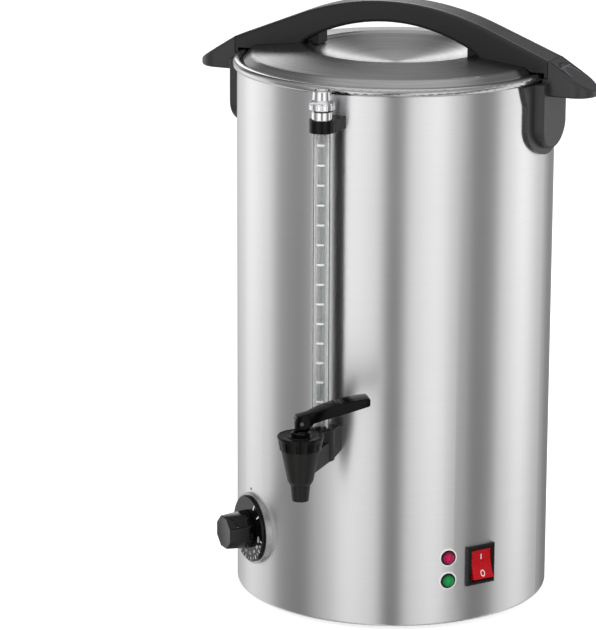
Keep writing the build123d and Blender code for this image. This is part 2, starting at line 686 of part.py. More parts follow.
def gauge_nut():
    r = GAUGE_NUT_D / 2
    hole = GLASS_D / 2 + 1.6
    nut = lathe((hole, GAUGE_NUT_Z), (r - 2.0, GAUGE_NUT_Z), (r, GAUGE_NUT_Z + 2.0), (r, GAUGE_CAP_Z - 0.6),
                (r - 0.6, GAUGE_CAP_Z), (hole, GAUGE_CAP_Z))
    for i in range(KNURLS):
        a = radians(360 / KNURLS * i)
        nut -= at(r * cos(a) * 1.05, r * sin(a) * 1.05, ring(0.95, 0, GAUGE_NUT_Z - 1, GAUGE_CAP_Z + 1))
    return at_gauge(nut)


def gauge_cap():
    """Chromed cap: a skirt over the nut, a tapered barrel, and a rimmed recess in its top."""
    barrel = 7.8
    skirt = GAUGE_NUT_D / 2 - 0.4
    neck = GLASS_D / 2 + 1.4
    z, top = GAUGE_CAP_Z, GAUGE_TOP_Z
    cap = lathe((0, z), (skirt, z), (skirt, z + 0.6), (barrel + 0.3, z + 2.8), (barrel, z + 3.2),
                (barrel - 0.5, top - 1.0), (barrel - 1.4, top), (barrel - 3.0, top),
                (barrel - 3.4, top - 1.4), (1.6, top - 1.4), (1.2, top - 3.0), (0, top - 3.0))
    cap += ring(neck, GLASS_D / 2 + TUBE_FIT, GAUGE_NUT_Z + 0.5, z + 0.5)
    for side in (-1, 1):
        cap -= Pos(0, side * skirt, z + 1.1) * Box(13.0, 5.0, 1.5)
    return at_gauge(cap)


def gauge_bracket():
    """Black clamp round the clear tube, reaching back to the shell."""
    z_mid = BRACKET_Z + BRACKET_H / 2
    outer = SHIELD_D / 2 + BRACKET_WALL
    root_y = GAUGE_Y + GAUGE_OFF + 6
    plan = outline((-outer, GAUGE_Y), (outer, GAUGE_Y), (BRACKET_ROOT_HALF_W, root_y),
                   (-BRACKET_ROOT_HALF_W, root_y))
    bracket = extrude(Pos(0, 0, BRACKET_Z) * plan, BRACKET_H)
    bracket += Pos(0, GAUGE_Y, z_mid) * Cylinder(outer, BRACKET_H)
    bracket -= Pos(0, GAUGE_Y, z_mid) * Cylinder(SHIELD_D / 2 + TUBE_FIT, BRACKET_H + 2)
    bracket -= inside_of(BODY_R)
    screw_end = BODY_R + GAUGE_OFF - SHIELD_D / 2 - 2.0
    return bracket - peg(0, z_mid, BRACKET_SCREW_R, BODY_R - 5, screw_end)


def bracket_screw():
    z_mid = BRACKET_Z + BRACKET_H / 2
    screw_end = BODY_R + GAUGE_OFF - SHIELD_D / 2 - 2.5
    screw = peg(0, z_mid, BRACKET_SCREW_R, SHELL_IN - 2.2, screw_end)
    head = peg(0, z_mid, PAN_HEAD_R, SHELL_IN - PAN_HEAD_H, SHELL_IN + 1)
    return screw + (head & inside_of(SHELL_IN))


# ---- Tap ----------------------------------------------------------------------------------------
def at_tap(shape):
    return Pos(0, TAP_Y, 0) * shape


def along_y(r, y_low, y_high, z):
    return Pos(0, (y_low + y_high) / 2, z) * Rot(90, 0, 0) * Cylinder(r, y_high - y_low)


def tap_body():
    """Tapered cup with its spout, the arm to the shell, the gauge socket and the threaded stub."""
    cone_low = SPOUT_Z + SPOUT_H + 3.5
    neck_top = CUP_TOP_Z + SCREW_NECK_H
    cup = lathe((0, SPOUT_Z), (SPOUT_MOUTH_D / 2, SPOUT_Z), (SPOUT_D / 2, SPOUT_Z + SPOUT_H),
                (CUP_LOW_D / 2 - 1.6, SPOUT_Z + SPOUT_H + 0.6), (CUP_LOW_D / 2, cone_low),
                (CUP_TOP_D / 2, CUP_TOP_Z), (NECK_D / 2, CUP_TOP_Z), (NECK_D / 2, neck_top), (0, neck_top))
    arm_low = TAP_BORE_Z - 12.0
    arm_top = TAP_BORE_Z + 4.0
    arm_side = outline((TAP_Y, arm_low - 1.5), (-BODY_R - 16, arm_low), (-BODY_R + 4, arm_low + 4),
                       (-BODY_R + 4, SOCKET_TOP_Z - 3), (-BODY_R - 4, SOCKET_TOP_Z), (GAUGE_Y, SOCKET_TOP_Z),
                       (GAUGE_Y, arm_top), (TAP_Y, arm_top))
    side_plane = Plane((0, 0, 0), x_dir=(0, 1, 0), z_dir=(1, 0, 0))
    arm = extrude(side_plane * arm_side, ARM_W / 2, both=True)
    arm += at_gauge(ring(SOCKET_D / 2, 0, arm_low, SOCKET_TOP_Z))
    arm -= at_tap(ring(BONNET_D / 2 + 0.3, 0, CUP_TOP_Z - 0.1, BONNET_TOP + 10))
    body = at_tap(cup) + arm - inside_of(BODY_R)
    body += along_y(TAP_STUB_D / 2, -BODY_R - 2, -TANK_IN + STUB_END, TAP_BORE_Z)
    body -= along_y(TAP_BORE_D / 2, TAP_Y, -TANK_IN + STUB_END + 1, TAP_BORE_Z)
    chamber = lathe((0, SEAT_Z), (CHAMBER_LOW_D / 2, SEAT_Z), (CHAMBER_D / 2, CUP_TOP_Z - 2),
                    (CHAMBER_D / 2, neck_top + 1), (0, neck_top + 1))
    body -= at_tap(chamber)
    body -= at_tap(ring(OUTLET_D / 2, 0, SPOUT_Z - 1, SEAT_Z + 1))
    body -= at_gauge(ring(SHIELD_D / 2 + TUBE_FIT, 0, SHIELD_LOW, SOCKET_TOP_Z + 1))
    body -= at_gauge(ring(GLASS_D / 2 + 1.8, 0, SEAL_LOW, SHIELD_LOW + 1))
    return body - at_gauge(ring(GLASS_D / 2 - GLASS_T, 0, TAP_BORE_Z, SEAL_LOW + 1))


def tap_spacer():
    """Silicone ring that fills the gap between the shell and the tank round the stub."""
    sleeve = along_y(TAP_STUB_D / 2 + 4, -BODY_R, -TANK_IN, TAP_BORE_Z)
    sleeve -= along_y(TAP_STUB_D / 2 + 0.2, -BODY_R - 1, -TANK_IN + 1, TAP_BORE_Z)
    return (sleeve & inside_of(SHELL_IN)) - inside_of(TANK_OUT)


def tap_gasket():
    flat_y = -TANK_IN + GASKET_T
    washer = along_y(TAP_NUT_FLATS / 2, -TANK_IN - 2, flat_y, TAP_BORE_Z)
    washer -= along_y(TAP_STUB_D / 2 + 0.2, -TANK_IN - 3, flat_y + 1, TAP_BORE_Z)
    return washer & inside_of(TANK_IN)


def tap_nut():
    nut = hex_nut(TAP_NUT_FLATS, TAP_STUB_D / 2, TAP_NUT_H)
    return Pos(0, -TANK_IN + GASKET_T, TAP_BORE_Z) * Rot(-90, 0, 0) * nut


def tap_bonnet():
    """Screwed cap of the tap, with a notched ring and a raised ring round the stem."""
    top, low = BONNET_TOP, CUP_TOP_Z
    hole = STEM_D / 2 + RUN_FIT
    neck_in = NECK_D / 2 + 0.1
    r, r_low = BONNET_D / 2, BONNET_LOW_D / 2
    ring_in = COLLAR_D / 2 + 0.6
    bonnet = lathe((hole, top - BONNET_PLATE), (neck_in, top - BONNET_PLATE), (neck_in, low), (r_low, low),
                   (r - 0.3, top - 2.4), (r, top - 1.6), (r, top - 0.7), (r - 0.8, top),
                   (ring_in + 2.9, top - 0.5), (ring_in + 2.3, top), (ring_in + 0.6, top),
                   (ring_in, top - 0.4), (hole, top - 0.4))
    for i in range(BONNET_NOTCHES):
        turn = Rot(0, 0, 360 / BONNET_NOTCHES * (i + 0.5))
        bonnet -= turn * Pos(r_low - NOTCH_DEPTH + 2, 0, low + 3.0) * Box(4.0, 1.3, 8.0)
    return at_tap(bonnet)


def turned_to_lever(shape):
    """Turns a shape drawn with the lever along +X to the lever's rest direction, at the tap."""
    return Pos(0, TAP_Y, 0) * Rot(0, 0, LEVER_ANGLE) * shape


def lever_collar():
    """Loose washer that turns with the lever on top of the bonnet."""
    low, high = BONNET_TOP - 0.4 + 0.1, COLLAR_Z + COLLAR_H
    hole = STEM_D / 2 + RUN_FIT
    r = COLLAR_D / 2
    return at_tap(lathe((hole, low), (r, low), (r, high - 1.0), (r - 1.0, high), (hole, high)))


def tap_stem():
    """Stem with a spring flange, and a flat tongue through which the lever's pin passes."""
    low = SEAT_Z + 2.0
    shoulder = COLLAR_Z + 1.0
    top = LEVER_PIN_Z + 2.6
    flange_z = SEAT_Z + SEAT_GAP + CUP_SEAL_H
    stem = ring(STEM_D / 2, 0, low, shoulder)
    slab = Pos(0, 0, (shoulder + top) / 2) * Box(STEM_D, TONGUE_T, top - shoulder)
    stem += ring(STEM_D / 2, 0, shoulder, top) & slab
    stem += ring(SPRING_D / 2 + 0.2, 0, flange_z, flange_z + 1.2)
    stem -= Pos(0, 0, LEVER_PIN_Z) * Rot(90, 0, 0) * Cylinder(PIN_D / 2, 20)
    return turned_to_lever(stem)


def seat_cup():
    low = SEAT_Z + SEAT_GAP
    high = low + CUP_SEAL_H
    neck = OUTLET_D / 2 + 1.2
    cup = lathe((0, low), (neck + 0.4, low), (neck + 1.2, low + 1.0), (neck, low + 3.5), (neck, high),
                (STEM_D / 2, high), (STEM_D / 2, SEAT_Z + 2.0), (0, SEAT_Z + 2.0))
    return at_tap(cup)


def tap_spring():
    low = SEAT_Z + SEAT_GAP + CUP_SEAL_H + 1.2 + SPRING_WIRE / 2 + 0.1
    high = BONNET_TOP - BONNET_PLATE - SPRING_WIRE / 2 - 0.1
    r = (SPRING_D - SPRING_WIRE) / 2
    path = Helix((high - low) / SPRING_TURNS, high - low, r)
    coil = sweep(Plane(origin=path @ 0, z_dir=path % 0) * Circle(SPRING_WIRE / 2), path, is_frenet=True)
    return at_tap(Pos(0, 0, low) * coil)


def lever_pin():
    return turned_to_lever(Pos(0, 0, LEVER_PIN_Z) * Rot(90, 0, 0) * Cylinder(PIN_D / 2, LEVER_HEEL_W + 0.4))


def tap_lever():
    """Press lever: a heel that bears on the collar, and a paddle that rises to its tip."""
    zp = LEVER_PIN_Z
    heel = zp + HEEL_Z
    tip, lip = (LEVER_LEN, zp + 19.0), (LEVER_LEN + 1.2, zp + 12.4)
    back, throat = (-3.6, zp + 5.6), (6.0, zp - 3.0)
    upper = Spline(back, (6, zp + 8.0), (22, zp + 13.4), (LEVER_LEN - 14, zp + 17.4), tip)
    lower = Spline(lip, (LEVER_LEN - 14, zp + 8.6), (20, zp + 3.6), (10, zp + 0.2), throat)
    heel_line = Polyline(throat, (6.5, heel), (-5.0, heel), (-5.4, zp + 1.0), back)
    sides = [upper, Line(tip, lip), lower, heel_line]
    blade = extrude(Plane.XZ * make_face(sides), LEVER_W / 2, both=True)
    heel_w, wide = LEVER_HEEL_W / 2, LEVER_W / 2
    tip_x = LEVER_LEN + 2
    plan = outline((-7, -heel_w), (4, -heel_w), (15, -wide), (tip_x, -wide), (tip_x, wide), (15, wide),
                   (4, heel_w), (-7, heel_w))
    blade = blade & extrude(Pos(0, 0, zp - 20) * plan, 60)
    blade -= Pos(-1.0, 0, heel) * Box(17.0, LEVER_SLOT_W, 2 * (4.4 - HEEL_Z))
    blade -= Pos(0, 0, zp) * Rot(90, 0, 0) * Cylinder(PIN_D / 2 + RUN_FIT, 30)
    return turned_to_lever(blade)


# ---- Thermostat and knob ------------------------------------------------------------------------
def dial_ring():
    """Bright ring under the dial, shaped to the shell behind and flat in front."""
    disc = peg(KNOB_ANGLE, KNOB_Z, DIAL_RING_D / 2, BODY_R - 10, BEZEL_FRONT)
    disc -= peg(KNOB_ANGLE, KNOB_Z, THERMOSTAT_NECK_R + CUTOUT_GAP, BODY_R - 12, BEZEL_FRONT + 1)
    for x in (-THERMOSTAT_SCREW_X, THERMOSTAT_SCREW_X):
        hole_r = THERMOSTAT_SCREW_R + CUTOUT_GAP
        disc -= offset_peg(KNOB_ANGLE, x, KNOB_Z, hole_r, BODY_R - 12, BEZEL_FRONT + 1)
        disc -= offset_peg(KNOB_ANGLE, x, KNOB_Z, PAN_HEAD_R + 0.4, BEZEL_FRONT - 1.6, BEZEL_FRONT + 1)
    return disc - inside_of(BODY_R)


def dial_skirt():
    """Numbered disc that turns with the knob."""
    plan = Circle(DIAL_D / 2)
    edge = 0.8
    disc = extrude(plan, DIAL_T - edge) + Pos(0, 0, DIAL_T - edge) * extrude(plan, edge, taper=50)
    disc -= Cylinder(KNOB_SHAFT_D / 2, 20)
    return radial(KNOB_ANGLE, DIAL_BACK, KNOB_Z) * disc


def control_knob():
    base = RegularPolygon(KNOB_FLATS / 2, 8, major_radius=False, rotation=22.5)
    face = RegularPolygon(KNOB_FACE_FLATS / 2, 8, major_radius=False, rotation=22.5)
    top = RegularPolygon(KNOB_FACE_FLATS / 2 - KNOB_EDGE, 8, major_radius=False, rotation=22.5)
    shoulder = Pos(0, 0, KNOB_H - KNOB_EDGE) * face
    knob = loft([base, shoulder]) + loft([shoulder, Pos(0, 0, KNOB_H) * top])
    knob -= Pos(0, 0, (KNOB_H - 6) / 2) * Cylinder(KNOB_SHAFT_D / 2, KNOB_H - 6)
    return radial(KNOB_ANGLE, DIAL_FRONT, KNOB_Z) * knob


def thermostat_shaft():
    return peg(KNOB_ANGLE, KNOB_Z, KNOB_SHAFT_D / 2, THERMOSTAT_FRONT - 10, KNOB_FACE - 6.2)


def thermostat_body():
    """Capillary thermostat with its mounting flange and threaded neck."""
    flange_back = THERMOSTAT_FRONT - 1.5
    back = THERMOSTAT_FRONT - THERMOSTAT_DEPTH
    body = block(KNOB_ANGLE, KNOB_Z, THERMOSTAT_W, THERMOSTAT_W, back, flange_back)
    body += block(KNOB_ANGLE, KNOB_Z, *THERMOSTAT_FLANGE, flange_back, THERMOSTAT_FRONT)
    body += peg(KNOB_ANGLE, KNOB_Z, THERMOSTAT_NECK_R, THERMOSTAT_FRONT, BODY_R + 1.0)
    body += peg(KNOB_ANGLE, KNOB_Z, THERMOSTAT_NECK_R + 3, THERMOSTAT_FRONT, SHELL_IN - 0.4)
    body -= peg(KNOB_ANGLE, KNOB_Z, KNOB_SHAFT_D / 2 + RUN_FIT, THERMOSTAT_FRONT - 10.5, BODY_R + 5)
    for x in (-THERMOSTAT_SCREW_X, THERMOSTAT_SCREW_X):
        body -= offset_peg(KNOB_ANGLE, x, KNOB_Z, THERMOSTAT_SCREW_R, BODY_R - 20, BODY_R)
    return body


def thermostat_screws():
    screws = []
    seat = BEZEL_FRONT - 1.6
    for x in (-THERMOSTAT_SCREW_X, THERMOSTAT_SCREW_X):
        shank = offset_peg(KNOB_ANGLE, x, KNOB_Z, THERMOSTAT_SCREW_R, THERMOSTAT_FRONT - 6, seat)
        head = offset_peg(KNOB_ANGLE, x, KNOB_Z, PAN_HEAD_R, seat, seat + 1.2)
        screws.append(shank + head)
    return screws


def capillary():
    """Sensing bulb under the tank floor with its fine tube down to the thermostat."""
    start_r = THERMOSTAT_FRONT - THERMOSTAT_DEPTH
    bulb_r, tube_r = 3.0, 0.9
    bulb_z = TANK_FLOOR_Z - bulb_r
    bulb_at = HEATER_D / 2 + BULB_OUT
    bulb = radial(KNOB_ANGLE, 0, 0) * Pos(0, bulb_z, bulb_at) * Rot(0, 90, 0) * Cylinder(bulb_r, 46)
    run = [(start_r, KNOB_Z + 8), (start_r - 16, KNOB_Z + 8), (bulb_at - 14, bulb_z - 16), (bulb_at, bulb_z)]
    path = FilletPolyline(*[radial(KNOB_ANGLE, r, z).position for r, z in run], radius=7.0)
    tube = sweep(Plane(origin=path @ 0, z_dir=path % 0) * Circle(tube_r), path)
    return bulb + tube


# ---- Lamps and switch ---------------------------------------------------------------------------
def lamp_housing(z):
    body = peg(LAMP_ANGLE, z, LAMP_BODY_R, SHELL_IN - 16, LAMP_FRONT)
    clip = peg(LAMP_ANGLE, z, LAMP_BODY_R + 1.8, SHELL_IN - 4, SHELL_IN - 0.6)
    blades = block(LAMP_ANGLE, z, 2.8, 0.6, SHELL_IN - 24, SHELL_IN - 15)
    return body + clip + blades


def lamp_lens(z):
    """Moulded coloured cap: a thick ring at the shell and a raised dome."""
    r, dome = LAMP_D / 2, LAMP_D / 2 - 1.5
    top = 3.6
    crown = (dome * dome + 1.6 * 1.6) / (2 * 1.6)
    mid = dome / 2
    arc = ThreePointArc((dome, top - 1.6), (mid, top - crown + sqrt(crown ** 2 - mid ** 2)), (0, top))
    rim = Polyline((0, -3), (r, -3), (r, 0.6), (r - 0.6, 1.2), (dome + 0.3, 1.2), (dome, top - 1.6))
    cap = revolve(Plane.XZ * make_face([rim, arc, Line((0, top), (0, -3))]), Axis.Z, 360)
    cap = radial(LAMP_ANGLE, BODY_R, z) * cap
    return cap - inside_of(BODY_R) - peg(LAMP_ANGLE, z, LAMP_BODY_R + 0.02, BODY_R - 5, LAMP_FRONT)


def switch_housing():
    """Black snap-in housing: a bezel shaped to the shell behind, and the body through the shell."""
    bezel = block(SWITCH_ANGLE, SWITCH_Z, SWITCH_W, SWITCH_H, BODY_R - 8, SWITCH_FRONT)
    far = (SWITCH_FRONT - 0.5) ** 2
    front = [e for e in bezel.edges() if e.center().X ** 2 + e.center().Y ** 2 > far]
    bezel = chamfer(front, 1.0) - inside_of(BODY_R)
    body = block(SWITCH_ANGLE, SWITCH_Z, SWITCH_BODY_W, SWITCH_BODY_H, BODY_R - 26, BODY_R + 1)
    for s in (-1, 1):
        body += radial(SWITCH_ANGLE, BODY_R - 28, SWITCH_Z) * Pos(0, 7 * s, 0) * Box(6.3, 0.8, 9)
    housing = bezel + body
    cavity = (ROCKER_W + 2 * ROCKER_SIDE_GAP, 2 * (ROCKER_SWEEP_R + ROCKER_SIDE_GAP))
    housing -= block(SWITCH_ANGLE, SWITCH_Z, *cavity, BODY_R - 16, SWITCH_FRONT + 1)
    return housing - rocker_pin()


def rocker_pin():
    pin = Rot(0, 90, 0) * Cylinder(ROCKER_PIN_D / 2, SWITCH_BODY_W)
    return radial(SWITCH_ANGLE, ROCKER_AXIS_R, SWITCH_Z) * pin


def switch_rocker():
    """Rocker with two sloped faces, at rest with its upper end pressed in."""
    h, s, c = ROCKER_HALF_H, ROCKER_SHOULDER, ROCKER_CREST
    face = Spline((h, s), (h * 0.5, c + 0.45), (0, c), (-h * 0.5, c + 0.45), (-h, s))
    back = Polyline((-h, s), (-h - 0.6, -1.5), (-h / 2, -7.5), (h / 2, -7.5), (h + 0.6, -1.5), (h, s))
    profile = Plane((0, 0, 0), x_dir=(0, 1, 0), z_dir=(1, 0, 0)) * make_face([face, back])
    rocker = extrude(profile, ROCKER_W / 2, both=True)
    rocker -= Rot(0, 90, 0) * Cylinder(ROCKER_PIN_D / 2 + RUN_FIT, 40)
    return radial(SWITCH_ANGLE, ROCKER_AXIS_R, SWITCH_Z) * Rot(-ROCKER_TILT, 0, 0) * rocker


def cord_gland():
    """Bushing at the back with the hole for a mains lead."""
    body = peg(180, GLAND_Z, GLAND_D / 2, BODY_R - 4, BODY_R + 3) - inside_of(BODY_R)
    body += peg(180, GLAND_Z, GLAND_NECK_R, SHELL_IN - 6, BODY_R + 2)
    nut = peg(180, GLAND_Z, GLAND_D / 2, SHELL_IN - 6, SHELL_IN - 1.2)
    return body + nut - peg(180, GLAND_Z, CORD_HOLE_R, SHELL_IN - 10, BODY_R + 6)


# ---- All sub-parts ------------------------------------------------------------------------------
def main():
    os.makedirs("parts", exist_ok=True)
    right_grip = side_grip()
    pieces = {
        "outer_shell": outer_shell(), "inner_tank": inner_tank(), "base_plate": base_plate(),
        "heating_plate": heating_plate(), "heating_element": heating_element(),
        "heater_clamp": heater_clamp(), "tie_rod": tie_rod(), "thermal_cutout": thermal_cutout(),
        "terminal_block": terminal_block(),
        "lid_shell": lid_shell(), "lid_handle": lid_handle(),
        "right_grip": right_grip, "left_grip": mirror(right_grip, Plane.YZ),
        "gauge_shield": gauge_shield(), "sight_glass": sight_glass(), "gauge_seal": gauge_seal(),
        "gauge_collar": gauge_collar(), "gauge_nut": gauge_nut(), "gauge_cap": gauge_cap(),
        "gauge_bracket": gauge_bracket(), "bracket_screw": bracket_screw(),
        "tap_body": tap_body(), "tap_spacer": tap_spacer(), "tap_gasket": tap_gasket(), "tap_nut": tap_nut(),
        "tap_bonnet": tap_bonnet(), "lever_collar": lever_collar(), "tap_stem": tap_stem(),
        "seat_cup": seat_cup(), "tap_spring": tap_spring(), "lever_pin": lever_pin(),
        "tap_lever": tap_lever(),
        "dial_ring": dial_ring(), "dial_skirt": dial_skirt(), "control_knob": control_knob(),
        "thermostat_shaft": thermostat_shaft(), "thermostat_body": thermostat_body(),
        "capillary": capillary(),
        "red_lamp_lens": lamp_lens(LAMP_ZS[0]), "green_lamp_lens": lamp_lens(LAMP_ZS[1]),
        "switch_housing": switch_housing(), "rocker_pin": rocker_pin(), "switch_rocker": switch_rocker(),
        "cord_gland": cord_gland(),
    }
    groups = {
        "base_feet": [at(x, y, foot()) for x, y in foot_places()],
        "foot_screws": [at(x, y, foot_screw()) for x, y in foot_places()],
        "foot_nuts": [Pos(x, y, BASE_Z + BASE_T) * foot_nut() for x, y in foot_places()],
        "tie_nuts": tie_nuts(),
        "grip_screws": grip_screws(),
        "lid_screws": [at(x, y, lid_screw()) for x, y in lid_screw_places()],
        "thermostat_screws": thermostat_screws(),
        "lamp_housings": [lamp_housing(z) for z in LAMP_ZS],
    }
    for node, shape in pieces.items():
        save(node, shape)
    for node, shapes in groups.items():
        save_group(node, shapes)
    print(len(pieces) + len(groups), "sub-parts written")


main()
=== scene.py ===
# %% [markdown]
# # A hot water urn
# The urn is a brushed steel can with a lift-off lid, a black handle that carries on as two side
# grips, a press-lever tap under a sight gauge, and a thermostat knob, two lamps and a switch near
# the foot. The solids of all its parts come in as a fixed frame, already at their real places.
# %% Load the frame
import json
import math

import bmesh
import bpy
from mathutils import Matrix, Vector

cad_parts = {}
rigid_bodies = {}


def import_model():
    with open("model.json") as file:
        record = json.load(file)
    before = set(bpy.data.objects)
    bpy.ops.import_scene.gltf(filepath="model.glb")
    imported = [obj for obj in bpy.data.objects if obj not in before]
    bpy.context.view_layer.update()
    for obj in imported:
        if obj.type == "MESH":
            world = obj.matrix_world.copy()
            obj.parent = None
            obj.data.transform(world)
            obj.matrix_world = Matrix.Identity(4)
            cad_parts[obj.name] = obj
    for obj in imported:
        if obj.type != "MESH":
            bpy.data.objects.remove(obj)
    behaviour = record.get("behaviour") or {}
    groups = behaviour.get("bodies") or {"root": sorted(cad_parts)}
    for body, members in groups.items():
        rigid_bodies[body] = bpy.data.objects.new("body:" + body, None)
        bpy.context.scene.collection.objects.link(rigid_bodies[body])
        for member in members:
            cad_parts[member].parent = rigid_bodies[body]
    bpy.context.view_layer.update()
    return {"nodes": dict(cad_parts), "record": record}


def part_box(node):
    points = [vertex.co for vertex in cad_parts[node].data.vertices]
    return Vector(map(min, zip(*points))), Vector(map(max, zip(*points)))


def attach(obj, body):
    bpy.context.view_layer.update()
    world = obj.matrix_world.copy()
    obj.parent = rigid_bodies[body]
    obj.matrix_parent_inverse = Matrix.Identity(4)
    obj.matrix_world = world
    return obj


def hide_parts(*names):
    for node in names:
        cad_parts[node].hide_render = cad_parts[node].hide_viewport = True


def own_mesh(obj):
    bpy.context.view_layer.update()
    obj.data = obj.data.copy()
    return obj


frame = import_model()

nodes = frame["nodes"]

# %% [markdown]
# ## Working in millimetres
# Blender's unit is the metre, and the urn's sizes are easier to read in millimetres, so a few
# helpers turn them over. Places round the can are given by an angle from the tap, positive towards
# the right grip, a distance from the can's axis and a height.
# %% Sizes and places
MM = 0.001
TINY = 1e-6  # metres: points nearer to each other than this count as one


def move(x, y, z):
    """A move by this many millimetres."""
    return Matrix.Translation(Vector((x, y, z)) * MM)


def rotate(degrees, axis):
    """A turn round the X, Y or Z axis."""
    return Matrix.Rotation(math.radians(degrees), 4, axis)


def around(angle, out, height):
    """The place at this angle from the tap, this far from the can's axis, in metres."""
    turn = math.radians(angle)
    return Vector((out * math.sin(turn), -out * math.cos(turn), height)) * MM


def against(angle, out, height):
    """Stands a shape drawn in X and Y upright against the can, at this angle and place."""
    return Matrix.Translation(around(angle, out, height)) @ rotate(angle, "Z") @ rotate(90, "X")


print("100 mm out on the tap's side and 50 mm up:", [round(v, 3) for v in around(0, 100, 50)])

# %% [markdown]
# ## Helpers for modelling by hand
# An operator works on whatever is selected, and the frame arrives selected, so everything is let
# go first. `choose` picks vertices, edges or faces in edit mode by a test on each one, which is
# what a maker does with the mouse.
# %% Picking
def deselect():
    """Leaves edit mode and lets go of everything."""
    if bpy.context.object and bpy.context.object.mode != "OBJECT":
        bpy.ops.object.mode_set(mode="OBJECT")
    bpy.ops.object.select_all(action="DESELECT")


def only(*pieces):
    """Selects just these objects and makes the first one active."""
    deselect()
    for piece in pieces:
        piece.select_set(True)
    bpy.context.view_layer.objects.active = pieces[0]


def edit():
    """Enters edit mode, ready to pick single vertices: a lone vertex can't be picked otherwise."""
    bpy.ops.object.mode_set(mode="EDIT")
    bpy.ops.mesh.select_mode(type="VERT")


def leave():
    """Leaves edit mode."""
    bpy.ops.object.mode_set(mode="OBJECT")


def everything():
    """Selects the whole mesh being edited."""
    bpy.ops.mesh.select_all(action="SELECT")


def choose(kind, test):
    """Selects the verts, edges or faces that pass the test in the mesh being edited."""
    bpy.ops.mesh.select_mode(type=kind[:-1].upper())
    bpy.ops.mesh.select_all(action="DESELECT")
    data = bpy.context.object.data
    mesh = bmesh.from_edit_mesh(data)
    for part in getattr(mesh, kind):
        if test(part):
            part.select_set(True)
    mesh.select_flush_mode()
    bmesh.update_edit_mesh(data)


deselect()
print("nothing is selected:", len(bpy.context.selected_objects) == 0)

# %% [markdown]
# The moves of a hand modeller follow, in millimetres. `one_point` is the start of every drawn
# outline: a small plane whose corners are merged, so that a point is left to extrude. `heal` merges
# the seam that spinning leaves and turns all faces outwards.
# %% Shaping
def nudge(x, y, z):
    """Moves what is selected."""
    bpy.ops.transform.translate(value=Vector((x, y, z)) * MM)


def extrude(x, y, z):
    """Extrudes what is selected."""
    bpy.ops.mesh.extrude_region_move(TRANSFORM_OT_translate={"value": Vector((x, y, z)) * MM})


def grow(x, y, z, centre=(0, 0, 0)):
    """Scales what is selected by these factors, about a centre."""
    bpy.ops.transform.resize(value=(x, y, z), center_override=Vector(centre) * MM)


def name_it(piece, name):
    piece.name = piece.data.name = name
    return piece


def one_point(name):
    """A new mesh of one point at the origin, selected in edit mode."""
    deselect()
    bpy.ops.mesh.primitive_plane_add(size=MM)
    edit()
    everything()
    bpy.ops.mesh.merge(type="CENTER")
    return name_it(bpy.context.object, name)


def outwards():
    """Turns all faces of the mesh outwards and leaves edit mode."""
    everything()
    bpy.ops.mesh.normals_make_consistent(inside=False)
    leave()


def heal(fill=False):
    """Merges doubles, fills open ends if asked, turns faces outwards and leaves edit mode."""
    everything()
    bpy.ops.mesh.remove_doubles(threshold=TINY)
    if fill:
        everything()
        bpy.ops.mesh.fill_holes(sides=0)
    outwards()


def smooth(angle):
    """Shades the piece smooth but for edges sharper than this angle."""
    bpy.ops.object.shade_smooth_by_angle(angle=math.radians(angle))


print("an outline starts as a plane of", MM, "m, merged to a point")

# %% [markdown]
# `settle` moves a finished mesh to its place on the urn and applies that, so that the object itself
# stays at the origin. `belongs` says what a piece rides on and its finish, and hides the solids it
# stands for.
# %% Finishing a piece
def settle(piece, matrix):
    """Moves a finished mesh to its place and applies that."""
    only(piece)
    piece.matrix_world = matrix @ piece.matrix_world
    bpy.ops.object.transform_apply()


def apply_all(piece):
    """Applies the piece's modifiers, from the top down."""
    only(piece)
    for modifier in list(piece.modifiers):
        bpy.ops.object.modifier_apply(modifier=modifier.name)


def soften(piece, width_mm, angle):
    """Rounds the edges sharper than this angle with a bevel, then shades the piece smooth."""
    modifier = piece.modifiers.new("Edges", "BEVEL")
    modifier.width, modifier.segments = width_mm * MM, 3
    modifier.limit_method, modifier.angle_limit = "ANGLE", math.radians(angle)
    apply_all(piece)
    smooth(40)


def copy_of(piece, name):
    """A copy of the piece with a mesh of its own."""
    only(piece)
    bpy.ops.object.duplicate()
    return name_it(bpy.context.object, name)


def join(name, pieces):
    """Makes one object of several and names it."""
    only(*pieces)
    bpy.ops.object.join()
    return name_it(pieces[0], name)


finish = {}  # each finish, by the slot that it serves or a name of its own


def belongs(piece, body, slot, key, *stands_for):
    """Rides the piece on its body, gives it its finish and hides what it stands for; slot is not
    used.
    """
    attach(piece, body)
    if stands_for:
        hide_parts(*stands_for)
    piece.data.materials.clear()
    piece.data.materials.append(finish[key])
    print(piece.name, "-", len(piece.data.polygons), "faces, rides on", body)


print("finishes so far:", len(finish))

# %% [markdown]
# ## Helpers for finishes
# Colours are written as on a screen, in sRGB hex, and one function turns them to the linear values
# that shaders need. Another adds a node: its settings, then its inputs, each a plain value or
# another node's output. A Mix node has sockets for several kinds of value, so those in use have
# names here.
# %% Finish helpers
VALUE_A, VALUE_B, VALUE_OUT = 2, 3, 0
COLOUR_A, COLOUR_B, COLOUR_OUT = 6, 7, 2


def srgb(code):
    def linear(value):
        return value / 12.92 if value <= 0.04045 else ((value + 0.055) / 1.055) ** 2.4
    return (*[linear(int(code[i:i + 2], 16) / 255) for i in (1, 3, 5)], 1.0)


def grey(level):
    """A linear grey; a level above 1 is brighter than white paper."""
    return (level, level, level, 1)


def fill(tree, node, inputs):
    """Fills a node's inputs, each with a plain value or a link from another node's output."""
    for name, value in inputs.items():
        if isinstance(value, bpy.types.NodeSocket):
            tree.links.new(value, node.inputs[name])
        else:
            node.inputs[name].default_value = value


def add(tree, kind, inputs, **settings):
    """Adds a shader node with its settings and inputs."""
    made = tree.nodes.new("ShaderNode" + kind)
    for name, value in settings.items():
        setattr(made, name, value)
    fill(tree, made, inputs)
    return made


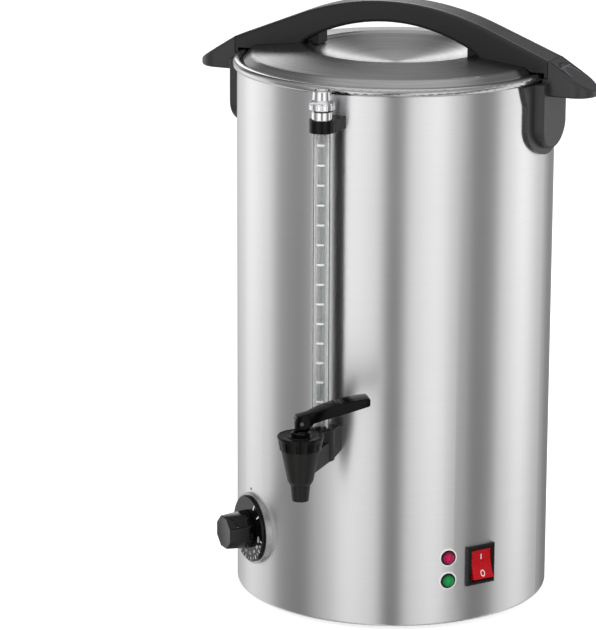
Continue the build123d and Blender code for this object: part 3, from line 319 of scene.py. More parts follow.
def new_finish(key, name, **sockets):
    """Files a new material; returns its node tree, its shader and the Object coordinates."""
    material = finish[key] = bpy.data.materials.new(name)
    material.use_nodes = True
    tree = material.node_tree
    shader = tree.nodes["Principled BSDF"]
    fill(tree, shader, {socket.replace("_", " "): value for socket, value in sockets.items()})
    return tree, shader, add(tree, "TexCoord", {}).outputs["Object"]


def surface(tree, shader, tone, dark, light, rough, height, strength, depth_mm):
    """Links a colour from dark to light by tone, a roughness, and a bump from a height."""
    colour = add(tree, "Mix", {"Factor": tone, COLOUR_A: srgb(dark), COLOUR_B: srgb(light)},
                 data_type="RGBA")
    bump = add(tree, "Bump", {"Height": height, "Strength": strength, "Distance": depth_mm * MM})
    fill(tree, shader, {"Base Color": colour.outputs[COLOUR_OUT], "Roughness": rough,
                        "Normal": bump.outputs["Normal"]})


print("mid grey, linear:", round(srgb("#808080")[0], 3))

# %% [markdown]
# ## The studio
# Polished and brushed metal shows its surroundings more than its own colour. A product studio
# stands white walls and black flags round the urn, and the can shows them as upright bright and
# dark bands. They could be built as panels, but the world plays that part here with nothing in the
# way: rays off a glossy surface meet bands that change with the compass direction and the height.
# %% Directions in the studio
VIEW_TURN = 22.5  # the side of the tap that the studio is set up for, in degrees
scene = bpy.context.scene
scene.view_settings.view_transform = "Standard"
scene.world = bpy.data.worlds.new("Studio")
scene.world.use_nodes = True
sky = scene.world.node_tree
sky.nodes.clear()

ray = add(sky, "TexCoord", {}).outputs["Generated"]
faced = add(sky, "VectorRotate", {"Vector": ray, "Angle": math.radians(90 - VIEW_TURN)},
            rotation_type="Z_AXIS")
split = add(sky, "SeparateXYZ", {"Vector": faced.outputs["Vector"]})
compass = add(sky, "Math", {0: split.outputs["Y"], 1: split.outputs["X"]}, operation="ARCTAN2")
# How far round a ray points, from 0 to 1 anticlockwise from straight behind the urn, and how far
# up: 0 is level and 1 is straight up.
share = add(sky, "MapRange", {"Value": compass.outputs[0], "From Min": -math.pi,
                              "From Max": math.pi}).outputs["Result"]
height = split.outputs["Z"]
print("the studio faces", VIEW_TURN, "degrees to the right of the tap")

# %% [markdown]
# The walls are white with black flags between them. The handle's crown and the lid's dish look up
# at the ceiling, so it has bands of its own, under one pale panel overhead. A slim soft box stands
# behind the urn, a little to the viewer's left: it lights the lever's top and opens the bright fan
# on the lid's dish.
# %% Walls, flags and ceiling
def bands(behind, stops):
    """A ramp round the room: its level straight behind the urn, then (degrees, level) in order,
    with the degrees to the right of the viewer's own side."""
    ramp = add(sky, "ValToRGB", {"Fac": share})
    ramp.color_ramp.interpolation = "EASE"
    points = ramp.color_ramp.elements
    points[0].color = points[1].color = grey(behind)
    for degrees, level in stops:
        points.new(0.5 + degrees / 360).color = grey(level)
    return ramp.outputs["Color"]


walls = bands(0.4, [
    (-150, 0.8), (-128, 1.25), (-106, 1.0), (-90, 0.34), (-70, 0.26), (-52, 0.75), (-34, 1.3),
    (-12, 1.05), (-4, 0.10), (4, 0.10), (12, 1.0), (32, 1.3), (48, 0.75), (60, 0.2), (74, 0.22),
    (88, 0.95), (106, 1.3), (134, 0.72), (150, 0.25)])
low_ceiling = bands(1.9, [
    (-172, 1.3), (-163, 0.3), (-150, 0.6), (-138, 0.18), (-110, 0.7), (-80, 0.4), (-50, 0.7),
    (-20, 0.9), (30, 0.9), (70, 0.5), (110, 0.8), (136, 0.3), (150, 0.8), (162, 0.3), (172, 1.3)])
high_ceiling = bands(0.26, [
    (-170, 0.16), (-150, 0.08), (-110, 0.3), (-30, 0.5), (30, 0.5), (110, 0.3), (150, 0.1),
    (168, 0.17)])
lower, upper, overhead = (
    add(sky, "MapRange", {"Value": height, "From Min": low, "From Max": high}).outputs["Result"]
    for low, high in ((0.02, 0.14), (0.28, 0.46), (0.80, 0.90)))

# The soft box: its two sides, its foot and its top each fade by a short ramp.
box = 1.0
for value, low, high, start, end in ((share, 0.005, 0.016, 0, 1), (share, 0.036, 0.047, 1, 0),
                                     (height, 0.22, 0.27, 0, 1), (height, 0.37, 0.42, 1, 0)):
    edge = add(sky, "MapRange", {"Value": value, "From Min": low, "From Max": high,
                                 "To Min": start, "To Max": end})
    box = add(sky, "Math", {0: box, 1: edge.outputs["Result"]}, operation="MULTIPLY").outputs[0]

BOX_LEVEL, OVERHEAD_LEVEL = 1.9, 0.8
room = walls
for factor, level in ((lower, low_ceiling), (upper, high_ceiling), (box, grey(BOX_LEVEL)),
                      (overhead, grey(OVERHEAD_LEVEL))):
    room = add(sky, "Mix", {"Factor": factor, COLOUR_A: room, COLOUR_B: level},
               data_type="RGBA").outputs[COLOUR_OUT]
print("walls, two ceilings and a soft box in", len(sky.nodes), "nodes")

# %% [markdown]
# Bands would tint what only scatters light, so diffuse rays get one even grey. The camera and the
# rays that pass through clear parts get the white background.
# %% What each kind of ray sees
SOFT_LIGHT = 0.5  # the even light that diffuse surfaces get
rays = add(sky, "LightPath", {})
lit = add(sky, "Mix", {"Factor": rays.outputs["Is Glossy Ray"], COLOUR_A: grey(SOFT_LIGHT),
                       COLOUR_B: room}, data_type="RGBA")
seen = add(sky, "Math", {0: rays.outputs["Is Camera Ray"], 1: rays.outputs["Is Transmission Ray"]},
           operation="MAXIMUM")
shown = add(sky, "Mix", {"Factor": seen.outputs[0], COLOUR_A: lit.outputs[COLOUR_OUT],
                         COLOUR_B: grey(1)}, data_type="RGBA")
glow = add(sky, "Background", {"Color": shown.outputs[COLOUR_OUT]})
add(sky, "OutputWorld", {"Surface": glow.outputs[0]})
print("the room has", len(sky.nodes), "nodes")

# %% [markdown]
# ## The floor
# The urn stands on a pale matt sheet that takes its soft shadow, and glows a little for the camera
# so that it meets the white background without a line. Glossy rays pass it: a studio covers the
# floor in front of a steel can, as it stands flags round it.
# %% The floor
FLOOR_GLOW = 0.62  # a share of white, for the camera alone
bpy.ops.mesh.primitive_plane_add(size=12)
floor = name_it(bpy.context.object, "studio_floor")
tree, shader, _ = new_finish("floor_paper", "White paper floor", Roughness=0.9)
rays = add(tree, "LightPath", {})
lift = add(tree, "Math", {0: rays.outputs["Is Camera Ray"], 1: FLOOR_GLOW}, operation="MULTIPLY")
fill(tree, shader, {"Base Color": srgb("#e2e2e2"), "Emission Color": grey(1),
                    "Emission Strength": lift.outputs[0]})
floor.data.materials.append(finish["floor_paper"])
floor.visible_glossy = False
print("floor:", [round(size, 1) for size in floor.dimensions])

# %% [markdown]
# ## Painted floor shade
# The floor near a real can is in its shade, and the foot of the can reflects that. Glossy rays pass
# the floor, so a sheet over it paints that shade in: it dims them, darker near the can, clear
# further out.
# %% Painted floor shade
bpy.ops.mesh.primitive_circle_add(vertices=64, radius=2.4, fill_type="NGON",
                                  location=(0, 0, 0.4 * MM))
sheet = name_it(bpy.context.object, "studio_floor_shade")
# A sheet of painted shade: it darkens what glossy rays see of the floor near the can.
painted_floor_shade = bpy.data.materials.new("Painted floor shade sheet")
painted_floor_shade.use_nodes = True
tree = painted_floor_shade.node_tree
tree.nodes.clear()
place = add(tree, "TexCoord", {}).outputs["Object"]
out = add(tree, "VectorMath", {0: place}, operation="LENGTH")
dim = add(tree, "MapRange", {"Value": out.outputs["Value"], "From Min": 0.15, "From Max": 1.7,
                             "To Min": 0.72, "To Max": 1.0})
clear_to = add(tree, "BsdfTransparent", {"Color": dim.outputs["Result"]})
add(tree, "OutputMaterial", {"Surface": clear_to.outputs[0]})
sheet.data.materials.append(painted_floor_shade)
for kind in ("camera", "diffuse", "shadow", "transmission"):
    setattr(sheet, "visible_" + kind, False)
print("the sheet dims the floor out to 1.7 m")

# %% [markdown]
# ## The lamps
# Plain studio light comes from three soft boxes: one in front to the left, a weaker one to the
# right, and one above that draws the shadow under the urn. Area lamps have the soft edge of such
# boxes. Steel doesn't show them, because the world says what it reflects.
# %% Soft boxes
AIM = Vector((0, 0, 0.25))  # the middle of the urn
for name, place, size, watts in (("soft_box_left", (-1.6, -2.2, 1.8), 1.6, 38),
                                 ("soft_box_right", (2.4, -1.0, 1.5), 1.4, 24),
                                 ("soft_box_top", (0.1, 0.3, 2.6), 1.8, 30)):
    bpy.ops.object.light_add(type="AREA", location=place)
    lamp = bpy.context.object
    lamp.name = name
    lamp.data.energy, lamp.data.size = watts, size
    lamp.rotation_euler = (AIM - Vector(place)).to_track_quat("-Z", "Y").to_euler()
    lamp.visible_glossy = False
    print(name, "-", watts, "watts")

# %% [markdown]
# ## The camera
# A long lens from nearly three metres keeps the can's sides upright. The camera stands a little to
# the right of the tap and above the lid, so that the lid's dish shows as a flat ellipse. Three
# small turns of its own set the urn in the frame.
# %% The camera
DISTANCE, AIM_HEIGHT = 2.9, 0.254  # in metres
RISE = math.radians(14.5)  # how far above level it stands
YAW, PITCH, ROLL = (math.radians(degrees) for degrees in (-1.579, -0.413, 0.19))
LENS, SENSOR, FAR_CLIP = 198.1, 36, 50  # two in millimetres, the last in metres
forward, right = Vector((0, math.cos(RISE), -math.sin(RISE))), Vector((1, 0, 0))
up = right.cross(forward)
forward = (forward * math.cos(YAW) * math.cos(PITCH) + right * math.sin(YAW) * math.cos(PITCH)
           + up * math.sin(PITCH))
right = forward.cross(Vector((0, 0, 1))).normalized()
up = right.cross(forward)
right, up = (right * math.cos(ROLL) + up * math.sin(ROLL),
             up * math.cos(ROLL) - right * math.sin(ROLL))
to_side = Matrix.Rotation(math.radians(VIEW_TURN), 3, "Z")
axes = Matrix((to_side @ right, to_side @ up, to_side @ -forward)).transposed()
spot = to_side @ Vector((0, -DISTANCE * math.cos(RISE), AIM_HEIGHT + DISTANCE * math.sin(RISE)))
bpy.ops.object.camera_add()
scene.camera = camera = bpy.context.object
camera.matrix_world = Matrix.Translation(spot) @ axes.to_4x4()
camera.data.sensor_width, camera.data.lens, camera.data.clip_end = SENSOR, LENS, FAR_CLIP
print("camera at", [round(v, 3) for v in spot])

# %% [markdown]
# ## Brushed steel
# The can, the lid and the rim are stainless sheet, brushed while it turned, so fine scratches run
# round them. Each spreads light across itself, which pulls highlights out along the can's height
# and into fans on the lid. The shader's anisotropy does this: its tangent runs round the axis, and
# a quarter turn sets the spread across the scratches. Real ones are a tenth of a millimetre wide;
# they are drawn one or two millimetres wide so that they show.
# %% Brushed steel
SATIN_ROUGHNESS, SATIN_METAL = 0.5, 0.55


def brushed(key, name, light, dark, roughness, spread, line_mm, depth, satin_below_mm=None):
    """Stainless steel with scratches round the urn's axis.
    Below satin_below_mm it is a blasted satin that scatters light instead."""
    tree, shader, place = new_finish(key, name, Metallic=1.0, Anisotropic=spread,
                                     Anisotropic_Rotation=0.25)
    parts = add(tree, "SeparateXYZ", {"Vector": place})
    flat = add(tree, "CombineXYZ", {"X": parts.outputs["X"], "Y": parts.outputs["Y"]}).outputs[0]
    out = add(tree, "VectorMath", {0: flat}, operation="LENGTH").outputs["Value"]
    # Height less distance from the axis counts the scratches, on upright and flat sheet alike.
    along = add(tree, "Math", {0: parts.outputs["Z"], 1: out}, operation="SUBTRACT")
    lines = add(tree, "Math", {0: along.outputs[0], 1: 1000 / line_mm}, operation="MULTIPLY")
    up = add(tree, "CombineXYZ", {"Z": lines.outputs[0]})
    # Along itself a scratch changes every 70 mm or so.
    drawn = add(tree, "VectorMath", {0: flat, 1: (14, 14, 0), 2: up.outputs[0]},
                operation="MULTIPLY_ADD")
    grain = add(tree, "TexNoise", {"Vector": drawn.outputs[0], "Scale": 1.0, "Detail": 3.0,
                                   "Roughness": 0.6}).outputs["Fac"]
    tone = add(tree, "Math", {0: grain, 1: 0.7, 2: 0.15}, operation="MULTIPLY_ADD").outputs[0]
    cloud = add(tree, "TexNoise", {"Vector": place, "Scale": 9.0, "Detail": 2.0}).outputs["Fac"]
    rough = add(tree, "MapRange", {"Value": cloud, "To Min": roughness - 0.02,
                                   "To Max": roughness + 0.02}).outputs["Result"]
    if satin_below_mm:
        rise = add(tree, "MapRange", {"Value": parts.outputs["Z"],
                                      "From Min": (satin_below_mm - 1) * MM,
                                      "From Max": satin_below_mm * MM}).outputs["Result"]
        rough = add(tree, "Mix", {"Factor": rise, VALUE_A: SATIN_ROUGHNESS,
                                  VALUE_B: rough}).outputs[VALUE_OUT]
        metal = add(tree, "MapRange", {"Value": rise, "To Min": SATIN_METAL, "To Max": 1.0})
        fill(tree, shader, {"Metallic": metal.outputs["Result"]})
    surface(tree, shader, tone, dark, light, rough, grain, depth, 0.1)
    tangent = add(tree, "VectorMath", {0: (0, 0, 1), 1: place}, operation="CROSS_PRODUCT")
    fill(tree, shader, {"Tangent": tangent.outputs[0]})


# The can's scratches are soft and even: wide upright bands of light with a faint fine grain.
brushed("shell_steel", "Brushed stainless steel sheet", "#ebebeb", "#e1e1e1", 0.31, 0.85, 1.1, 0.05)
# The spun lid's are coarser and spread more: the light opens into bright and grey fans on its dish.
brushed("lid_steel", "Spun satin stainless steel", "#dedede", "#7e7e80", 0.31, 0.92, 2.0, 0.4)
# The tank's rolled rim is nearly polished and draws thin bright and dark lines. Below it the
# tank's inside is blasted to an even grey.
brushed("tank_steel", "Rolled satin stainless rim", "#dcdcdc", "#b8b8b8", 0.17, 0.2, 1.6, 0.04,
        satin_below_mm=441.5)
print("brushed steels:", ", ".join(key for key in finish if key.endswith("_steel")))

# %% [markdown]
# ## Plain metals
# Screws, brackets, the gauge's chromed fittings and the ring under the dial aren't brushed round
# the urn. They share a shader with a little mottle in colour and gloss, because plating and
# rolling leave a faint cloudiness even on bright metal.
# %% Plain metals
def plain_metal(key, name, light, dark, roughness, mottle_mm, wave=0.04):
    """A bright or plated metal with faint cloudiness, mottle_mm across."""
    tree, shader, place = new_finish(key, name, Metallic=1.0)
    cloud = add(tree, "TexNoise", {"Vector": place, "Scale": 1000 / mottle_mm,
                                   "Detail": 3.0}).outputs["Fac"]
    rough = add(tree, "MapRange", {"Value": cloud, "From Min": 0.3, "From Max": 0.7,
                                   "To Min": roughness, "To Max": roughness + wave})
    surface(tree, shader, cloud, dark, light, rough.outputs["Result"], cloud, 0.05, 0.1)


# Plating over polished brass is a mirror: dark and white lines packed close on every round.
plain_metal("chrome_fitting", "Chrome plated brass", "#f4f4f6", "#e2e2e6", 0.08, 6)
# A lightly rubbed ring spreads the room into one pale band without hard lines.
plain_metal("bright_ring", "Satin stainless ring", "#cfcfcf", "#b2b2b2", 0.34, 9)
# Headed screws and rods have small soft glints.
plain_metal("fixing_steel", "Bright cold headed steel", "#d0d0ce", "#b4b4b2", 0.28, 4)
# Zinc is a dull, slightly warm grey whose crystals cloud its gloss.
plain_metal("plated_steel", "Zinc plated steel sheet", "#c8c8c2", "#a2a29c", 0.38, 11, wave=0.1)
# Wire drawn through a die carries one bright line along each turn.
plain_metal("spring_steel", "Drawn spring wire", "#b6b6b4", "#8e8e8c", 0.26, 3)
# A casting's skin is matt and a little spotted, and shows no images.
plain_metal("heater_alloy", "Cast aluminium", "#cfcfd0", "#aaaaac", 0.45, 2.5, wave=0.15)
# Blackening leaves the pin a dark glint between the black mouldings.
plain_metal("black_steel", "Blackened steel pin", "#6e6e6e", "#4c4c4c", 0.35, 2.5)
# Copper is the one warm colour inside the base.
plain_metal("copper", "Drawn copper capillary", "#e0a080", "#c07850", 0.3, 5)
print("finishes so far:", len(finish))

# %% [markdown]
# ## Moulded plastics and rubber
# A moulded part takes the texture of its mould. The handle has a fine spark-eroded grain that
# breaks up its shine, the tap is satin, and the lever, knob and dial are polished. One recipe does
# all of them: a base colour that shifts slightly over the part, and a noise that varies the gloss
# and lifts the surface a little, drawn coarser than real grain so that it shows.
# %% Moulded plastics
def moulded(key, name, light, dark, roughness, grain_mm, relief, specular=0.5, **sockets):
    """A moulded plastic, rubber, glaze or ink; relief is how strongly its grain shows."""
    tree, shader, place = new_finish(key, name, Specular_IOR_Level=specular, **sockets)
    shift = add(tree, "TexNoise", {"Vector": place, "Scale": 28.0, "Detail": 2.0})
    grain = add(tree, "TexNoise", {"Vector": place, "Scale": 1000 / grain_mm,
                                   "Detail": 2.0}).outputs["Fac"]
    tone = add(tree, "Mix", {"Factor": 0.45, VALUE_A: shift.outputs["Fac"], VALUE_B: grain})
    rough = add(tree, "MapRange", {"Value": grain, "From Min": 0.3, "From Max": 0.7,
                                   "To Min": roughness - 0.04, "To Max": roughness + 0.06})
    surface(tree, shader, tone.outputs[VALUE_OUT], dark, light, rough.outputs["Result"], grain,
            relief, 0.2)


# The handle's eroded grain scatters the light into a soft grey sheen along its crown.
moulded("handle_black", "Grained black polypropylene", "#222223", "#141415", 0.37, 1.4, 0.35, 0.4)
# The grips are the handle's black painted paler for the light that falls on them, with a wider
# sheen.
moulded("grip_lit_black", "Black polypropylene painted lighter where lit", "#303032", "#202022", 0.36, 1.4, 0.3, 0.55)
# The tap's nylon is a deep brownish black with a dull, even shine.
moulded("tap_black", "Satin black polyamide", "#14110f", "#0d0b0a", 0.44, 1.0, 0.15, 0.35)
# Bonnet and gauge bracket are glossed: black sides, with light on their tops alone.
moulded("bonnet_black", "Glossed black polyamide", "#0e0c0b", "#080706", 0.24, 2.0, 0.06, 0.18)
# Phenolic from a polished mould is near to pure black with small sharp lights.
moulded("gloss_black", "Polished black phenolic", "#080707", "#030303", 0.13, 2.2, 0.04, 0.3)
# The knob's flats are softer, so each one holds a faint grey of its own.
moulded("knob_black", "Satin black phenolic", "#0a0a0b", "#050506", 0.15, 1.6, 0.05, 0.38)
# The lever is the deepest black of all, and only its edges catch the light.
moulded("lever_black", "Polished black urea", "#060505", "#020202", 0.12, 2.2, 0.03, 0.14)
# The switch's frame has a low gloss that rounds off its corners.
moulded("switch_black", "Semi gloss black nylon", "#121010", "#0b0909", 0.28, 1.4, 0.08, 0.4)
# The rocker is clear red plastic over a dark switch, so it looks deep and even.
moulded("red_plastic", "Clear red polycarbonate", "#c00818", "#aa0210", 0.24, 3.0, 0.03, 0.3)
# Silicone lets some light in under its skin and has no hard lights.
moulded("silicone", "Translucent silicone rubber", "#d8d6cf", "#c4c2ba", 0.5, 1.2, 0.1,
        Subsurface_Weight=0.3, Subsurface_Scale=0.002)
# Rubber feet are a dusty charcoal, with almost no shine.
moulded("foot_rubber", "Black nitrile rubber", "#2c2c2c", "#1f1f1f", 0.7, 0.9, 0.3)
# Glaze over steatite is creamy, with a wet shine.
moulded("ceramic_white", "Glazed steatite ceramic", "#efe9dc", "#ddd6c8", 0.2, 2.4, 0.08)
# Plain grey nylon is dull, as hidden parts are.
moulded("grey_housing", "Grey moulded nylon", "#7a7a7c", "#666668", 0.45, 1.2, 0.15)
# Pad print is a thick, slightly uneven white.
moulded("print_white", "White pad print ink", "#f6f6f6", "#e6e6e6", 0.4, 0.8, 0.1)
# The channel's face is the whitest thing on the urn, so the water level stands out; its white also
# stands in for the bright lines of light down the tube.
moulded("channel_white_and_highlight", "White polystyrene painted bright for the tube's highlights", "#fdfdfd", "#f4f4f4", 0.3, 3.0, 0.02)
# The lamps' rims are painted glossy white round dark lenses: a painted highlight for a bright rim.
moulded("lamp_rim_highlight", "White rim paint for a highlight", "#f6f6f6", "#eaeaea", 0.25, 1.5, 0.04)
# The index dot is a mid grey that reads on steel.
moulded("marker_ink", "Grey index ink", "#6a6a6a", "#505050", 0.5, 0.8, 0.1)
print("finishes so far:", len(finish))

# %% [markdown]
# ## Clear parts
# The gauge has a clear acrylic tube as a shield round a thinner glass one. Both are real clear
# materials here, with the refraction of acrylic and of glass, and a faint haze that varies. Walls
# so thin let most light straight through, which Alpha does, and a strong coat draws the white
# lines down their sides.
# %% Clear parts
def clear(key, name, tint, roughness, ior, coat_ior, solid):
    """A clear plastic or glass with a faint haze; solid is the share that bends light."""
    tree, shader, place = new_finish(key, name, IOR=ior, Transmission_Weight=1.0, Coat_Weight=1.0,
                                     Coat_IOR=coat_ior, Coat_Roughness=0.03, Alpha=solid)
    haze = add(tree, "TexNoise", {"Vector": place, "Scale": 120.0, "Detail": 2.0})
    rough = add(tree, "MapRange", {"Value": haze.outputs["Fac"], "From Min": 0.35,
                                   "From Max": 0.7, "To Min": roughness,
                                   "To Max": roughness + 0.05})
    fill(tree, shader, {"Base Color": srgb(tint), "Roughness": rough.outputs["Result"]})


# The shield is all but unseen, save for a bright line down each side.
clear("clear_plastic", "Extruded clear acrylic", "#fdfdfd", 0.02, 1.49, 2.0, 0.12)
# The glass is a faint grey-green core inside it.
clear("gauge_glass", "Drawn borosilicate glass", "#ced2d2", 0.01, 1.47, 1.6, 0.5)
print("finishes so far:", len(finish))

# %% [markdown]
# ## Lamp lenses
# Each pilot lamp has a domed lens of clear coloured plastic. Its rim sits in a dark housing, and
# the lens is painted with that shade, deep in colour at its edge, and with a painted glow, bright
# in the middle. The colour follows the distance from the lamp's own axis, worked out from the
# Object coordinates.
# %% Lamp lenses
BODY_R = 131.0  # the can's outside radius
LAMP_ANGLE, RED_LAMP_Z, GREEN_LAMP_Z = 43.3, 61.4, 41.7
LENS_R = 6.3


def lens(key, name, height_mm, middle, body, edge):
    """A lens finish: a painted glow at the middle that darkens to painted shade away from the axis
    of the lamp at this height.
    """
    tree, shader, place = new_finish(key, name, Roughness=0.14, Specular_IOR_Level=0.3)
    centre = around(LAMP_ANGLE, BODY_R, height_mm)
    axis = around(LAMP_ANGLE, 1000.0, 0.0)
    offset = add(tree, "VectorMath", {0: place, 1: centre}, operation="SUBTRACT")
    across = add(tree, "VectorMath", {0: offset.outputs[0], 1: axis}, operation="CROSS_PRODUCT")
    far = add(tree, "VectorMath", {0: across.outputs[0]}, operation="LENGTH")
    scaled = add(tree, "MapRange", {"Value": far.outputs["Value"], "From Max": LENS_R * MM})
    ramp = add(tree, "ValToRGB", {"Fac": scaled.outputs["Result"]})
    points = ramp.color_ramp.elements
    points[0].color, points[1].color = srgb(middle), srgb(edge)
    points[0].position, points[1].position = 0.2, 0.84
    points.new(0.66).color = srgb(body)
    speck = add(tree, "TexNoise", {"Vector": place, "Scale": 500.0, "Detail": 1.0})
    tone = add(tree, "Mix", {"Factor": 0.12, COLOUR_A: ramp.outputs["Color"],
                             COLOUR_B: speck.outputs["Color"]},
               data_type="RGBA", blend_type="OVERLAY")
    fill(tree, shader, {"Base Color": tone.outputs[COLOUR_OUT]})


# Both have a painted glow in the middle and painted shade out to a rim that is nearly black.
lens("red_lens", "Crimson acrylic lens with painted glow", RED_LAMP_Z, "#c01054", "#98063a", "#1c0008")
lens("green_lens", "Green acrylic lens with painted glow", GREEN_LAMP_Z, "#0a984c", "#067a3c", "#011408")
print("finishes so far:", len(finish))

# %% [markdown]
# ## Painting the frame's own parts
# Every solid of the frame names the slot of its finish, so one loop dresses them all. A few differ
# from the rest of their slot in polish and have a finish of their own, and the grips' is painted
# paler for the light that falls on them.
# %% Dress the frame
slot_of = {row["node"]: row["material_slot"] for row in frame["record"]["subparts"]}
# The grips' own finish is a painted lighter copy of the handle's black.
own_finish = {"gauge_bracket": "bonnet_black", "tap_bonnet": "bonnet_black",
              "lever_pin": "black_steel", "right_grip": "grip_lit_black", "left_grip": "grip_lit_black"}
for name, solid in nodes.items():
    paint = finish[own_finish.get(name, slot_of[name])]
    if not solid.material_slots:
        solid.data.materials.append(paint)
    for place in solid.material_slots:
        place.material = paint
print("dressed", len(nodes), "parts from", len(set(slot_of.values())), "slots")

# %% [markdown]
# ## The gauge's backing
# Behind the sight glass a thin curved channel lines the clear tube. Its pale face lets the water
# level show and is painted white enough to stand in for the bright lines down the tube, and its
# black back faces the can, a dark sheet that paints shade into the can's reflection beside the
# gauge. It could be cut from a tube; spinning an edge half way round the gauge's axis and giving it
# a wall leaves no ends to clean up.
# %% Gauge backing
GAUGE_Y = -151.0  # the gauge's axis
CHANNEL_LOW, CHANNEL_HIGH = 176.0, 417.0
CHANNEL_TURN = 189.0  # brings the arc behind the glass, a little askew


def channel(name, radius, thick):
    """An upright strip of an arc behind the sight glass, open towards the front."""
    piece = one_point(name)
    nudge(radius, 0, CHANNEL_LOW)
    extrude(0, 0, CHANNEL_HIGH - CHANNEL_LOW)
    everything()
    bpy.ops.mesh.spin(steps=24, angle=math.pi, center=(0, 0, 0), axis=(0, 0, 1))
    heal()
    wall = piece.modifiers.new("Wall", "SOLIDIFY")
    wall.thickness, wall.offset = thick * MM, 0.0
    apply_all(piece)
    smooth(35)
    settle(piece, move(0, GAUGE_Y, 0) @ rotate(CHANNEL_TURN, "Z"))
    return piece


belongs(channel("gauge_channel_face", 5.7, 0.5), "root", "ceramic_white", "channel_white_and_highlight")
# The black back is painted shade for the can's reflection beside the gauge.
belongs(channel("gauge_channel_shade_back", 6.5, 0.6), "root", "tap_black", "tap_black")

# %% [markdown]
# ## The tap's lever
# The lever is one polished black moulding: a heel that grips the pin, a waist, and a broad blade
# that rises to its tip. It is drawn out from one face, station by station: each extrusion sets the
# next height, slope and width. Its edges are then rounded.
# %% Drawing out a body
TAP_Y, PIN_Z, LEVER_ANGLE = -190.0, 191.0, 35.0


def drawn_out(name, stations):
    """Extrudes a face along X through stations of (x, low, high, half width) in mm."""
    deselect()
    x0, low0, high0, half0 = stations[0]
    bpy.ops.mesh.primitive_plane_add(size=1, rotation=(0, math.radians(-90), 0))
    piece = name_it(bpy.context.object, name)
    bpy.ops.object.transform_apply()
    edit()
    everything()
    grow(1, 2 * half0 * MM, (high0 - low0) * MM)
    nudge(x0, 0, (high0 + low0) / 2)
    for (x0, low0, high0, half0), (x, low, high, half) in zip(stations, stations[1:]):
        middle = (low + high) / 2
        extrude(x - x0, 0, middle - (low0 + high0) / 2)
        grow(1, half / half0, (high - low) / (high0 - low0), centre=(x, 0, middle))
    outwards()
    return piece


lever = drawn_out("press_lever", [
    (-5.3, -6.4, 2.2, 4.9), (-3.4, -6.8, 6.0, 5.3), (2.0, -6.8, 7.0, 5.4), (5.9, -6.7, 8.0, 5.4),
    (6.7, -3.0, 8.3, 5.6), (10.0, 0.2, 9.5, 6.6), (15.0, 2.0, 11.2, 7.7), (21.0, 3.8, 13.2, 8.3),
    (27.0, 5.2, 14.9, 8.5), (34.0, 7.0, 16.3, 8.5), (41.0, 8.9, 17.6, 8.5), (48.0, 10.8, 18.5, 8.4),
    (53.6, 12.2, 19.0, 8.1), (55.0, 13.2, 18.4, 7.6)])
soften(lever, 0.9, 25)
print("the lever's body:", [round(size / MM, 1) for size in lever.dimensions], "mm")

# %% [markdown]
# Three low ribs lie across the blade and give a thumb its grip. One is shaped from a cube with its
# top drawn in, and copied.
# %% The lever's ribs
RIB_SIZE, RIB_TOP = (1.5, 13.4, 1.5), (0.6, 0.97)
RIB_X, RIB_Z, RIB_STEP, RIB_SLOPE, RIB_TILT = 26.5, 14.75, 3.6, 0.2, -13
deselect()
bpy.ops.mesh.primitive_cube_add(size=1)
rib = name_it(bpy.context.object, "lever_rib")
edit()
everything()
grow(*(size * MM for size in RIB_SIZE))
choose("faces", lambda face: face.normal.z > 0.9)
grow(*RIB_TOP, 1, centre=(0, 0, RIB_SIZE[2] / 2))
leave()
ribs = [rib, copy_of(rib, "lever_rib_2"), copy_of(rib, "lever_rib_3")]
for index, rib in enumerate(ribs):
    along = RIB_STEP * index
    settle(rib, move(RIB_X + along, 0, RIB_Z + RIB_SLOPE * along) @ rotate(RIB_TILT, "Y"))
lever = join("press_lever", [lever, *ribs])
settle(lever, move(0, TAP_Y, PIN_Z) @ rotate(LEVER_ANGLE, "Z"))
belongs(lever, "lever", "gloss_black", "lever_black", "tap_lever")

# %% [markdown]
# ## The tap's spring
# A wire spring round the stem presses the seat cup shut. It is wound as a real one is: a circle of
# wire is swept up and round by a Screw modifier. The stem lifts its foot while the bonnet holds its
# top, and it rides on the stem.
# %% The spring
low_corner, high_corner = (Vector(corner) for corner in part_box("tap_spring"))
wide, tall = high_corner.x - low_corner.x, high_corner.z - low_corner.z
WIRE, COILS, STEM_TRAVEL = 0.9 * MM, 5, 2.4 * MM
deselect()
bpy.ops.mesh.primitive_circle_add(vertices=10, radius=WIRE / 2, rotation=(math.radians(90), 0, 0),
                                  location=((wide - WIRE) / 2, 0, WIRE / 2))
spring = name_it(bpy.context.object, "tap_coil")
bpy.ops.object.transform_apply()
winding = spring.modifiers.new("Winding", "SCREW")
winding.axis, winding.angle, winding.iterations = "Z", math.tau, COILS
winding.screw_offset = (tall - WIRE) / COILS
winding.steps = winding.render_steps = 30
apply_all(spring)
edit()
heal(fill=True)
smooth(40)
middle = (low_corner + high_corner) / 2
settle(spring, Matrix.Translation((middle.x, middle.y, low_corner.z)))
belongs(spring, "stem", "spring_steel", "spring_steel", "tap_spring")
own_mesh(spring)

